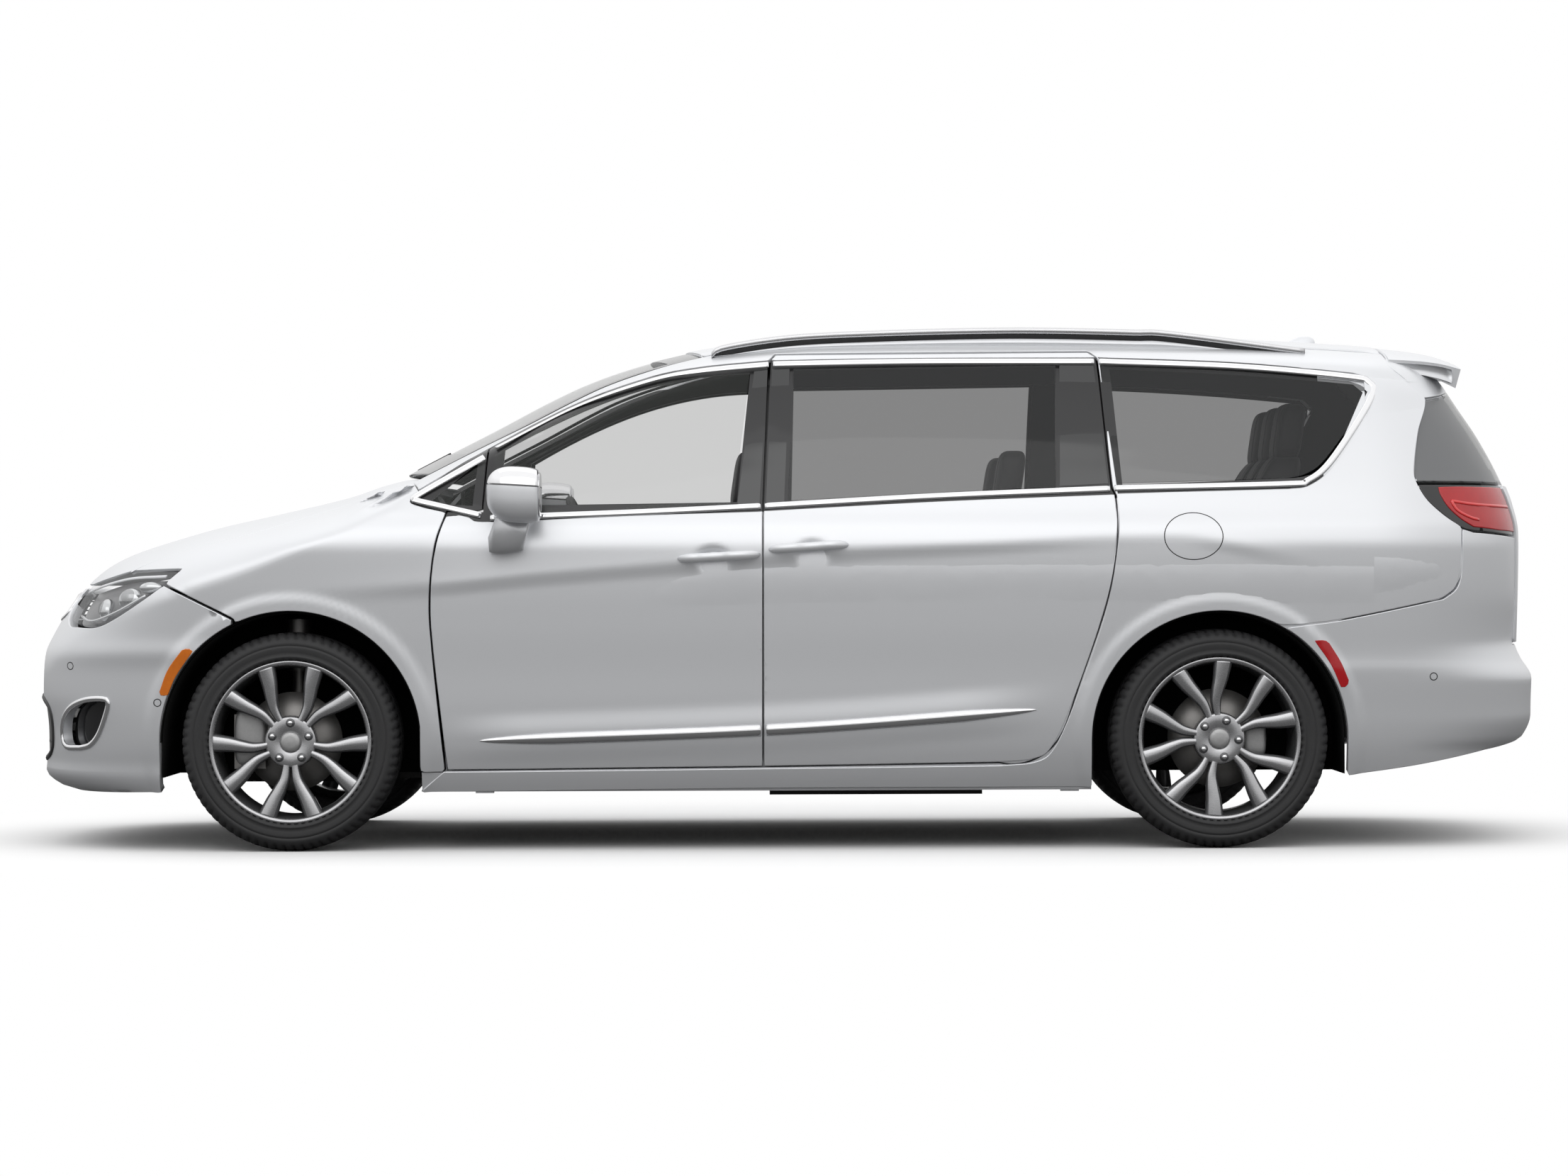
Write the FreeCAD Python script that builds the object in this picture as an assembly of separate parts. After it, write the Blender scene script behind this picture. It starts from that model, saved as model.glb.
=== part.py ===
import FreeCAD, Part
import math
import os
from FreeCAD import Vector

# Minivan, front towards -X, left side towards -Y, wheels standing on z = 0.
# Millimetres. The origin is on the ground under the middle of the body.

# Driving dimensions
overall_length = 5172.0
wheelbase = 3089.0
front_overhang = 943.0
body_half_width = 1011.0
roof_height = 1751.0
sill_height = 196.0
tyre_radius = 364.0
tyre_width = 245.0
rim_radius = 262.0
wheel_track = 1710.0
front_arch_gap = 72.0
rear_arch_gap = 62.0
shut_gap = 6.0
lid_gap = 9.0
skin_depth = 40.0
frame_depth = 66.0
frame_wall = 46.0
door_depth = 104.0
glass_thickness = 5.0
glass_inset = 14.0
seat_gap = 0.3
running_gap = 6.0
overrun = 400.0

half_length = overall_length / 2
front_axle_x = front_overhang - half_length
rear_axle_x = front_axle_x + wheelbase
axle_height = tyre_radius
half_track = wheel_track / 2


def smooth(points):
    """Monotone cubic curve through points, straight beyond both ends."""
    xs = [p[0] for p in points]
    ys = [p[1] for p in points]
    last = len(xs) - 1
    steps = [xs[i + 1] - xs[i] for i in range(last)]
    slopes = [(ys[i + 1] - ys[i]) / steps[i] for i in range(last)]
    tangents = [slopes[0]] + [0.0] * (last - 1) + [slopes[-1]]
    for i in range(1, last):
        if slopes[i - 1] * slopes[i] > 0:
            before = 2 * steps[i] + steps[i - 1]
            after = steps[i] + 2 * steps[i - 1]
            tangents[i] = (before + after) / (before / slopes[i - 1] + after / slopes[i])

    def value(x):
        if x <= xs[0]:
            return ys[0] + tangents[0] * (x - xs[0])
        if x >= xs[last]:
            return ys[last] + tangents[last] * (x - xs[last])
        i = max(k for k in range(last) if xs[k] <= x)
        t = (x - xs[i]) / steps[i]
        rise = (1 + 2 * t) * (1 - t) ** 2 * ys[i] + t * t * (3 - 2 * t) * ys[i + 1]
        lean = t * (1 - t) ** 2 * tangents[i] + t * t * (t - 1) * tangents[i + 1]
        return rise + lean * steps[i]

    return value


def along(shares, x_size, y_size):
    """Curve through a table of shares of two sizes."""
    return smooth([(a * x_size, b * y_size) for a, b in shares])


# Centre lines of the body, x as shares of half the length, z of the roof height
hood_line_shares = [
    (-0.951, 0.506), (-0.928, 0.532), (-0.906, 0.552), (-0.875, 0.572), (-0.823, 0.596), (-0.757, 0.623),
    (-0.671, 0.651), (-0.576, 0.684), (-0.531, 0.706), (-0.464, 0.729), (-0.400, 0.748),
]
cabin_line_shares = [
    (-0.580, 0.670), (-0.518, 0.719), (-0.462, 0.762), (-0.392, 0.815), (-0.323, 0.869), (-0.271, 0.905),
    (-0.219, 0.933), (-0.166, 0.955), (-0.098, 0.975), (0.039, 0.994), (0.232, 1.000), (0.464, 0.997),
    (0.725, 0.979), (0.796, 0.971), (0.860, 0.958), (0.892, 0.943),
]
# Nose and tail lines, z as shares of the roof height, x of half the length
nose_line_shares = [
    (0.109, -0.944), (0.123, -0.978), (0.146, -0.9946), (0.224, -0.9953), (0.294, -0.9992), (0.342, -0.9985),
    (0.383, -0.994), (0.431, -0.981), (0.474, -0.965), (0.506, -0.951),
]
tail_line_shares = [
    (0.120, 0.965), (0.365, 0.976), (0.600, 0.9795), (0.657, 0.9725), (0.705, 0.960), (0.787, 0.9315),
    (0.840, 0.908), (0.891, 0.885), (0.942, 0.857), (1.005, 0.820),
]
# Half width at mid body, z as shares of the roof height, y of the greatest half width
width_shares = [
    (0.105, 0.925), (0.143, 0.945), (0.200, 0.964), (0.257, 0.974), (0.343, 0.982), (0.428, 0.991),
    (0.514, 0.998), (0.571, 1.000), (0.605, 0.989), (0.645, 0.961), (0.685, 0.935), (0.742, 0.895),
    (0.800, 0.854), (0.857, 0.811), (0.914, 0.767), (1.005, 0.692),
]
# How far the shoulder starts below the centre line, as shares of the roof height
hood_drop_shares = [
    (-0.951, 0.148), (-0.812, 0.137), (-0.713, 0.123), (-0.597, 0.094), (-0.518, 0.080), (-0.400, 0.072),
]
cabin_drop_shares = [
    (-0.580, 0.014), (-0.445, 0.018), (-0.348, 0.032), (-0.271, 0.043), (-0.166, 0.052), (0.000, 0.063),
    (0.193, 0.069), (0.890, 0.066),
]
# How far the windscreen's edge lies behind its middle, as shares of half the length
bow_shares = [
    (-0.580, 0.072), (-0.445, 0.070), (-0.348, 0.064), (-0.271, 0.054), (-0.166, 0.046), (-0.039, 0.027),
    (0.116, 0.0001), (0.900, 0.0),
]

hood_line = along(hood_line_shares, half_length, roof_height)
cabin_line = along(cabin_line_shares, half_length, roof_height)
nose_line = along(nose_line_shares, roof_height, half_length)
tail_line = along(tail_line_shares, roof_height, half_length)
width_line = along(width_shares, roof_height, body_half_width)
hood_drop = along(hood_drop_shares, half_length, roof_height)
cabin_drop = along(cabin_drop_shares, half_length, roof_height)
screen_bow = along(bow_shares, half_length, half_length)

belt_height = 0.645 * roof_height
widest_x = 0.116 * half_length
nose_round_x = -0.754 * half_length
tail_round_x = 0.735 * half_length
nose_power = 2.6
tail_power = 3.2
shoulder_power = 2.3
barrel_share = 0.032
front_taper_share = 0.40
rear_taper_share = 0.10


def plain_width(x, z):
    """Half width of the body side, without the rounding at the nose, tail and roof."""
    along_share = (x - widest_x) / half_length
    width = width_line(z) - barrel_share * along_share ** 2 * body_half_width
    if z > belt_height:
        taper = front_taper_share if along_share < 0 else rear_taper_share
        width -= taper * along_share ** 2 * (z - belt_height)
    return width


def rounding(share, power):
    return (1 - min(max(share, 0), 1) ** power) ** (1 / power)


def end_rounding(x, z, tail):
    """Share of the half width that the plan rounding of the nose and tail leaves."""
    if x < nose_round_x:
        return rounding((nose_round_x - x) / (nose_round_x - nose_line(z)), nose_power)
    if x > tail_round_x:
        return rounding((x - tail_round_x) / (tail(z) - tail_round_x), tail_power)
    return 1.0


def side_width(x, z):
    return plain_width(x, z) * end_rounding(x, z, tail_line)


def hoop_point(x, v, line, drop, bow):
    """Point of the cross section at x: v = 0 on the centre line, -1 or 1 at the sill."""
    side = -1 if v < 0 else 1
    shoulder = line(x) - drop(x)
    if abs(v) <= 0.5:
        angle = math.pi * abs(v)
        reach = math.sin(angle) ** (2 / shoulder_power)
        z = shoulder + drop(x) * max(math.cos(angle), 0) ** (2 / shoulder_power)
        place = x + bow(x) * reach ** 2
        return Vector(place, side * reach * side_width(place, z), z)
    z = shoulder - (abs(v) - 0.5) * 2 * (shoulder - sill_height)
    place = x + bow(x)
    return Vector(place, side * side_width(place, z), z)


def no_bow(x):
    return 0.0


def hood_point(x, v):
    return hoop_point(x, v, hood_line, hood_drop, no_bow)


def cabin_point(x, v):
    return hoop_point(x, v, cabin_line, cabin_drop, screen_bow)


def roof_height_at(x, y):
    """Height of the roof surface, behind the bowed windscreen."""
    z = cabin_line(x)
    for _ in range(12):
        share = abs(y) / plain_width(x, z)
        z = (z + cabin_line(x) - cabin_drop(x) * (1 - rounding(share, shoulder_power))) / 2
    return z


def steps(first, last, count):
    return [first + (last - first) * i / (count - 1) for i in range(count)]


fine_count = 121
degree = 3


def knot_line(count):
    """Clamped even knots for count poles, each as often as it is repeated."""
    spans = count - degree
    return [0.0] * (degree + 1) + [float(k) for k in range(1, spans)] + [float(spans)] * (degree + 1)


def pole_steps(first, last, count):
    """Places between first and last where the poles of a smooth curve act."""
    knots = knot_line(count)
    middles = [sum(knots[i + 1:i + 1 + degree]) / degree for i in range(count)]
    return [first + (last - first) * m / knots[-1] for m in middles]


def poles_through(places):
    """Poles of a cubic curve that passes by places, which lie at pole_steps."""
    count = len(places)
    knots = knot_line(count)
    middles = pole_steps(0, knots[-1], count)
    poles = [places[0]]
    for i in range(1, count - 1):
        a, b, c = knots[i + 1:i + 4]
        weight = (a * b + a * c + b * c) / 3 - middles[i] ** 2
        before = middles[i] - middles[i - 1]
        after = middles[i + 1] - middles[i]
        bend = ((places[i + 1] - places[i]) / after - (places[i] - places[i - 1]) / before) / (before + after)
        poles.append(places[i] + bend * weight)
    return poles + [places[-1]]


def evenly(places, count):
    """Points at the pole places along a line of points."""
    lengths = [0.0]
    for i in range(1, len(places)):
        lengths.append(lengths[-1] + places[i].distanceToPoint(places[i - 1]))
    result = []
    k = 0
    for goal in pole_steps(0, lengths[-1], count):
        while k < len(places) - 2 and lengths[k + 1] < goal:
            k += 1
        share = (goal - lengths[k]) / (lengths[k + 1] - lengths[k])
        result.append(places[k] + (places[k + 1] - places[k]) * share)
    return result


def end_sections(heights, tip_x, end_x, tail, line, drop, inset, columns):
    """Rows of points round the nose or tail, each row at one height, inset from the skin."""
    rows = []
    for z in heights:
        tip = tip_x(z)
        end_width = plain_width(end_x, z)
        row = []
        for t in steps(-1, 1, fine_count):
            turn = math.cos(math.pi / 2 * t)
            x = end_x + (tip - end_x) * turn
            width = plain_width(x, z) * end_rounding(x, z, tail)
            width *= rounding((z - line(x) + drop(x)) / drop(x), shoulder_power)
            side = -1 if t < 0 else 1
            forward = inset * turn if tip < end_x else -inset * turn
            row.append(Vector(x + forward, side * width * (1 - inset / end_width), z))
        rows.append(evenly(row, columns))
    return rows


def spread(points):
    """Smooth face through a grid of points that lie at pole_steps both ways."""
    rows = [poles_through(row) for row in points]
    columns = [poles_through([row[k] for row in rows]) for k in range(len(rows[0]))]
    poles = [[column[i] for column in columns] for i in range(len(rows))]
    spans = [len(poles) - degree, len(poles[0]) - degree]
    knots = [[float(k) for k in range(span + 1)] for span in spans]
    times = [[degree + 1] + [1] * (span - 1) + [degree + 1] for span in spans]
    surface = Part.BSplineSurface()
    surface.buildFromPolesMultsKnots(poles, times[0], times[1], knots[0], knots[1], False, False, degree, degree)
    return surface.toShape()


def pushed(face, start, travel):
    """Solid that a face sweeps from start on along travel, with its faces outwards."""
    near = face.copy()
    near.translate(start)
    solid = near.extrude(travel)
    if solid.Volume < 0:
        far = face.copy()
        far.translate(start + travel)
        solid = far.extrude(-travel)
    return solid


def closed(faces):
    shell = Part.makeShell(faces)
    shell.sewShape()
    solid = Part.makeSolid(shell)
    if solid.Volume < 0:
        solid = Part.makeSolid(shell.reversed())
    return solid


def wall(outer, inner):
    """Solid between two grids of points of the same size."""
    skins = [spread(outer), spread(inner)]
    rims = [Part.makeRuledSurface(edge, other) for edge, other in zip(skins[0].Edges, skins[1].Edges)]
    return closed(skins + rims)


def box(x0, x1, y0, y1, z0, z1):
    low = Vector(min(x0, x1), min(y0, y1), min(z0, z1))
    return Part.makeBox(abs(x1 - x0), abs(y1 - y0), abs(z1 - z0), low)


def rod(start, direction, radius, length):
    return Part.makeCylinder(radius, length, start, direction)


def fused(solids):
    body = solids[0]
    if len(solids) > 1:
        body = body.multiFuse(solids[1:])
    return body.removeSplitter()


def mirrored(shape):
    return shape.mirror(Vector(0, 0, 0), Vector(0, 1, 0))


def at(x_share, z_share):
    """Place in the side view, as shares of half the length and the roof height."""
    return Vector(x_share * half_length, 0, z_share * roof_height)


def side_outline(runs):
    """Closed side view outline; a run of two points is straight, a longer one a curve."""
    return [[at(a, b) for a, b in run] for run in runs]


def outline_wire(runs):
    edges = []
    for places in runs:
        if len(places) == 2:
            edges.append(Part.makeLine(places[0], places[1]))
        else:
            curve = Part.BSplineCurve()
            curve.interpolate(places)
            edges.append(curve.toShape())
    return Part.Wire(edges)


def across(runs, y0, y1):
    """Prism of a side view outline between two planes."""
    return pushed(Part.Face(outline_wire(runs)), Vector(0, y0, 0), Vector(0, y1 - y0, 0))


def grown(runs, distance):
    """The outline moved outwards by a distance, each corner along its bisector."""
    loop = [place for run in runs for place in run[:-1]]
    count = len(loop)
    area = sum(loop[i - 1].x * loop[i].z - loop[i].x * loop[i - 1].z for i in range(count))
    outward = distance if area > 0 else -distance
    moved = []
    for i, place in enumerate(loop):
        before = (place - loop[i - 1]).normalize()
        after = (loop[(i + 1) % count] - place).normalize()
        normals = [Vector(d.z, 0, -d.x) for d in (before, after)]
        middle = (normals[0] + normals[1]).normalize()
        moved.append(place + middle * (outward / max(middle.dot(normals[0]), 0.5)))
    result = []
    start = 0
    for run in runs:
        stop = start + len(run) - 1
        result.append([moved[k % count] for k in range(start, stop + 1)])
        start = stop
    return result


def save(name, shape):
    """Writes one node; a node of one solid is written without a compound."""
    solids = shape.Solids
    whole = solids[0] if len(solids) == 1 else Part.makeCompound(solids)
    whole.exportStep("parts/" + name + ".step")


def sections(point, xs, edge, v1, columns):
    """Rows of points over hood or cabin, each from v = edge(x) to v1."""
    return [evenly([point(x, v) for v in steps(edge(x), v1, fine_count)], columns) for x in xs]


inward = Vector(0, 1, 0)
left_edge = -body_half_width - overrun


# Side view outlines
front_door_outline = side_outline([
    [(-0.4316, 0.643), (-0.4455, 0.580), (-0.4530, 0.480), (-0.4500, 0.380), (-0.4331, 0.155)],
    [(-0.4331, 0.155), (-0.0290, 0.160)],
    [(-0.0290, 0.160), (-0.0275, 0.656)],
    [(-0.0275, 0.656), (-0.0200, 0.931)],
    [(-0.0200, 0.931), (-0.1083, 0.9205), (-0.1748, 0.9016), (-0.2734, 0.850), (-0.3743, 0.7715),
     (-0.3810, 0.765)],
    [(-0.3810, 0.765), (-0.3860, 0.643)],
    [(-0.3860, 0.643), (-0.4316, 0.643)],
])
sliding_door_outline = side_outline([
    [(-0.0260, 0.160), (0.2761, 0.166)],
    [(0.2761, 0.166), (0.3210, 0.172), (0.3442, 0.197), (0.3708, 0.284), (0.4114, 0.4615), (0.4269, 0.600),
     (0.4255, 0.670)],
    [(0.4255, 0.670), (0.4207, 0.685)],
    [(0.4207, 0.685), (0.4170, 0.750), (0.4080, 0.9350)],
    [(0.4080, 0.9350), (0.3975, 0.948)],
    [(0.3975, 0.948), (-0.0100, 0.945)],
    [(-0.0100, 0.945), (-0.0160, 0.931)],
    [(-0.0160, 0.931), (-0.0250, 0.656)],
    [(-0.0250, 0.656), (-0.0260, 0.160)],
])
front_core_outline = side_outline([
    [(-0.4130, 0.185), (-0.0500, 0.185)],
    [(-0.0500, 0.185), (-0.0500, 0.615)],
    [(-0.0500, 0.615), (-0.4130, 0.615)],
    [(-0.4130, 0.615), (-0.4130, 0.185)],
])
sliding_core_outline = side_outline([
    [(0.0000, 0.185), (0.2600, 0.190)],
    [(0.2600, 0.190), (0.3300, 0.300)],
    [(0.3300, 0.300), (0.3900, 0.480)],
    [(0.3900, 0.480), (0.3950, 0.615)],
    [(0.3950, 0.615), (0.0000, 0.615)],
    [(0.0000, 0.615), (0.0000, 0.185)],
])
front_aperture_outline = side_outline([
    [(-0.4230, 0.171), (-0.0400, 0.171)],
    [(-0.0400, 0.171), (-0.0380, 0.912)],
    [(-0.0380, 0.912), (-0.1200, 0.902), (-0.1900, 0.878), (-0.2734, 0.831), (-0.3640, 0.763)],
    [(-0.3640, 0.763), (-0.3720, 0.655)],
    [(-0.3720, 0.655), (-0.4230, 0.635)],
    [(-0.4230, 0.635), (-0.4230, 0.171)],
])
sliding_aperture_outline = side_outline([
    [(-0.0120, 0.171), (0.2700, 0.176)],
    [(0.2700, 0.176), (0.3150, 0.200), (0.3500, 0.300), (0.4000, 0.465), (0.4080, 0.600)],
    [(0.4080, 0.600), (0.4030, 0.680)],
    [(0.4030, 0.680), (0.3900, 0.925)],
    [(0.3900, 0.925), (-0.0080, 0.920)],
    [(-0.0080, 0.920), (-0.0120, 0.171)],
])
front_glass_outline = side_outline([
    [(-0.3650, 0.655), (-0.0600, 0.660)],
    [(-0.0600, 0.660), (-0.0430, 0.909)],
    [(-0.0430, 0.909), (-0.1200, 0.899), (-0.1900, 0.875), (-0.2734, 0.828), (-0.3600, 0.762)],
    [(-0.3600, 0.762), (-0.3650, 0.655)],
])
corner_glass_outline = side_outline([
    [(-0.4560, 0.660), (-0.4000, 0.655)],
    [(-0.4000, 0.655), (-0.3950, 0.738)],
    [(-0.3950, 0.738), (-0.4560, 0.660)],
])
sliding_glass_outline = side_outline([
    [(0.0100, 0.662), (0.3500, 0.683)],
    [(0.3500, 0.683), (0.3540, 0.922)],
    [(0.3540, 0.922), (0.0140, 0.916)],
    [(0.0140, 0.916), (0.0100, 0.662)],
])
quarter_glass_outline = side_outline([
    [(0.4360, 0.690), (0.6500, 0.702)],
    [(0.6500, 0.702), (0.6850, 0.712), (0.7100, 0.735)],
    [(0.7100, 0.735), (0.7540, 0.868)],
    [(0.7540, 0.868), (0.7420, 0.884)],
    [(0.7420, 0.884), (0.5800, 0.905), (0.4250, 0.916)],
    [(0.4250, 0.916), (0.4360, 0.690)],
])
tailgate_side_outline = side_outline([
    [(0.7920, 0.995), (0.7940, 0.920)],
    [(0.7940, 0.920), (0.8130, 0.893), (0.8390, 0.856)],
    [(0.8390, 0.856), (0.8230, 0.789), (0.8140, 0.716), (0.8167, 0.6900)],
    [(0.8167, 0.6900), (0.8700, 0.6900)],
    [(0.8700, 0.6900), (0.9000, 0.3850)],
    [(0.9000, 0.3850), (1.0500, 0.3850)],
    [(1.0500, 0.3850), (1.0500, 0.995)],
    [(1.0500, 0.995), (0.7920, 0.995)],
])
lamp_outline = side_outline([
    [(-0.9210, 0.503), (-0.8496, 0.531)],
    [(-0.8496, 0.531), (-0.7807, 0.533)],
    [(-0.7807, 0.533), (-0.7985, 0.508), (-0.8279, 0.478), (-0.8619, 0.447), (-0.8900, 0.430),
     (-0.9200, 0.431), (-0.9420, 0.444)],
    [(-0.9420, 0.444), (-0.9420, 0.460), (-0.9210, 0.503)],
])
bumper_outline = side_outline([
    [(-1.0500, 0.100), (-0.7000, 0.100)],
    [(-0.7000, 0.100), (-0.7000, 0.438)],
    [(-0.7000, 0.438), (-0.7974, 0.505)],
    [(-0.7974, 0.505), (-0.8279, 0.474), (-0.8619, 0.443), (-0.8900, 0.426), (-0.9200, 0.427), (-0.9450, 0.440)],
    [(-0.9450, 0.440), (-0.9460, 0.462), (-0.9250, 0.501)],
    [(-0.9250, 0.501), (-1.0500, 0.501)],
    [(-1.0500, 0.501), (-1.0500, 0.100)],
])
fender_outline = side_outline([
    [(-0.7067, 0.4435), (-0.7955, 0.509)],
    [(-0.7955, 0.509), (-0.7770, 0.533)],
    [(-0.7770, 0.533), (-0.7790, 0.537), (-0.8496, 0.535)],
    [(-0.8496, 0.535), (-0.8496, 0.760)],
    [(-0.8496, 0.760), (-0.4787, 0.760)],
    [(-0.4787, 0.760), (-0.4787, 0.661)],
    [(-0.4787, 0.661), (-0.4340, 0.643)],
    [(-0.4340, 0.643), (-0.4480, 0.580), (-0.4556, 0.480), (-0.4526, 0.380), (-0.4357, 0.149)],
    [(-0.4357, 0.149), (-0.6000, 0.149)],
    [(-0.6000, 0.149), (-0.7067, 0.4435)],
])
tail_lamp_outline = side_outline([
    [(0.8190, 0.6830), (0.9250, 0.6880)],
    [(0.9250, 0.6880), (0.9900, 0.6880)],
    [(0.9900, 0.6880), (0.9900, 0.5900)],
    [(0.9900, 0.5900), (0.8760, 0.6080)],
    [(0.8760, 0.6080), (0.8500, 0.6320), (0.8290, 0.6600), (0.8190, 0.6830)],
])
rear_bumper_outline = side_outline([
    [(0.6900, 0.4170), (0.7181, 0.4346), (0.8271, 0.4672)],
    [(0.8271, 0.4672), (0.8507, 0.4780), (0.8662, 0.5020), (0.8740, 0.6040)],
    [(0.8740, 0.6040), (1.0600, 0.5860)],
    [(1.0600, 0.5860), (1.0600, 0.1950)],
    [(1.0600, 0.1950), (0.6900, 0.1300)],
    [(0.6900, 0.1300), (0.6900, 0.4170)],
])


def arch_cut(axle_x, radius, inner):
    """What a wheel arch takes out of the left side, open at the bottom."""
    disc = rod(Vector(axle_x, left_edge, axle_height), inward, radius, inner - left_edge)
    below = box(axle_x - radius, axle_x + radius, left_edge, inner, -overrun, axle_height)
    return disc.fuse(below)


front_arch_inner = -half_track + 1.35 * tyre_width
rear_arch_inner = -half_track + tyre_width
front_arch = arch_cut(front_axle_x, tyre_radius + front_arch_gap, front_arch_inner)
rear_arch = arch_cut(rear_axle_x, tyre_radius + rear_arch_gap, rear_arch_inner)

# Left side layers
pillar_edge_shares = [(-0.60, 0.375), (-0.30, 0.365), (-0.20, 0.350), (-0.10, 0.325), (0.90, 0.325)]
pillar_edge = along(pillar_edge_shares, half_length, 1)
side_front_edge_x = -0.556 * half_length
side_rear_edge_x = 0.760 * half_length
side_face = spread(sections(cabin_point, pole_steps(side_front_edge_x, side_rear_edge_x, 18),
                            lambda x: -pillar_edge(x), -1, 11))


def side_layer(start, depth):
    """Layer of the left cabin side, from start to start + depth inside the skin."""
    return pushed(side_face, Vector(0, start, 0), Vector(0, depth, 0))


def top_layer(face, start, depth):
    """Layer under a roof or hood face, from start to start + depth below it."""
    return pushed(face, Vector(0, 0, -start), Vector(0, 0, -depth))


wall_depth = frame_depth + frame_wall
side_skin = side_layer(0, skin_depth)
side_core = side_layer(skin_depth - 1, door_depth - skin_depth)
glass_layer = side_layer(glass_inset, glass_thickness)
glass_rebate = side_layer(glass_inset - seat_gap, wall_depth)
door_room = side_layer(-skin_depth, skin_depth + frame_depth)

glass_lap = 12.0
roof_skin = 6.0
roof_depth = 32.0
screen_depth = 5.0
roof_front_s = -0.135 * half_length
roof_rear_s = 0.789 * half_length
screen_base_s = -0.512 * half_length
roof_edge_v = 0.300
pillar_inner_v = 0.312
pillar_outer_v = 0.395
pillar_top_x = -0.100 * half_length
headliner_edge_v = 0.220
screen_edge_v = 0.300


def window_in(panel, outline):
    """Cuts a window and the rebate behind it that the pane seats in."""
    opening = across(outline, left_edge, 0)
    seat = glass_rebate.common(across(grown(outline, glass_lap + seat_gap), left_edge, 0))
    return panel.cut(opening).cut(seat)


def pillar_strip():
    """Outer edge of the windscreen pillar, between the glass and the side layer."""
    places = pole_steps(side_front_edge_x, pillar_top_x, 12)
    rows = sections(cabin_point, places, lambda x: -pillar_inner_v, -pillar_outer_v, 6)
    return pushed(spread(rows), Vector(0, 0, 0), Vector(0, 0.45 * skin_depth, -0.75 * skin_depth))


def pane(outline):
    return glass_layer.common(across(grown(outline, glass_lap), left_edge, 0))


# Front door hinges: the axis is vertical, just inside the skin
hinge_x = front_axle_x + 0.1953 * half_length
hinge_y = -body_half_width + 33.0
hinge_radius = 7.0
hinge_length = 26.0
hinge_heights = [0.425 * roof_height, 0.565 * roof_height]
hinge_room = 9.0
hinge_leaf = 5.0
door_sweep_radius = 46.0
door_sweep_low = 0.155 * roof_height
door_sweep_high = 0.640 * roof_height


def door_sweep():
    """Room that the front edge of the door turns in, round the hinge axis."""
    room = rod(Vector(hinge_x, hinge_y, door_sweep_low), Vector(0, 0, 1), door_sweep_radius,
               door_sweep_high - door_sweep_low)
    return room.cut(box(-half_length, 0, left_edge, hinge_y - 2 * hinge_radius, 0, roof_height))


def hinge_pocket(z):
    return box(hinge_x - overrun / 4, hinge_x + 2 * hinge_room, hinge_y - hinge_room, hinge_y + door_depth,
               z - hinge_length - 2 * hinge_room, z + hinge_length + 2 * hinge_room)


def door_panel(outline, core_outline, glass_outline):
    """Door skin with its thicker lower box and a window that is cut through."""
    skin = side_skin.common(across(outline, left_edge, 0))
    core = side_core.common(across(core_outline, left_edge, 0))
    return window_in(skin.fuse(core), glass_outline)


def front_door():
    door = door_panel(front_door_outline, front_core_outline, front_glass_outline)
    for z in hinge_heights:
        door = door.cut(hinge_pocket(z))
        barrel = rod(Vector(hinge_x, hinge_y, z + seat_gap), Vector(0, 0, 1), hinge_radius, hinge_length)
        leaf = box(hinge_x, hinge_x + 3 * hinge_room, hinge_y - hinge_leaf, hinge_y + hinge_leaf,
                   z + seat_gap, z + hinge_length)
        door = door.fuse(barrel).fuse(leaf)
    return door


def body_hinges():
    parts = []
    for z in hinge_heights:
        parts.append(rod(Vector(hinge_x, hinge_y, z - hinge_length), Vector(0, 0, 1), hinge_radius, hinge_length))
        parts.append(box(hinge_x - hinge_leaf, hinge_x + hinge_leaf, hinge_y, hinge_y + 2 * frame_wall,
                         z - hinge_length, z - 1.5 * seat_gap))
    return parts


def sliding_door():
    """Left sliding door, with the pads behind its edge that rest on the body frame."""
    door = door_panel(sliding_door_outline, sliding_core_outline, sliding_glass_outline)
    for x_share, z_share in sliding_door_pad_shares:
        place = at(x_share, z_share)
        pad = box(place.x - pad_size, place.x + pad_size, left_edge, 0, place.z - pad_size, place.z + pad_size)
        door = door.fuse(pad_layer.common(pad))
    return door


pad_size = 12.0
pad_layer = side_layer(skin_depth / 2, frame_depth - skin_depth / 2 - seat_gap)
sliding_door_pad_shares = [(-0.018, 0.300), (-0.018, 0.560), (0.360, 0.260), (0.414, 0.520)]


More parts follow.
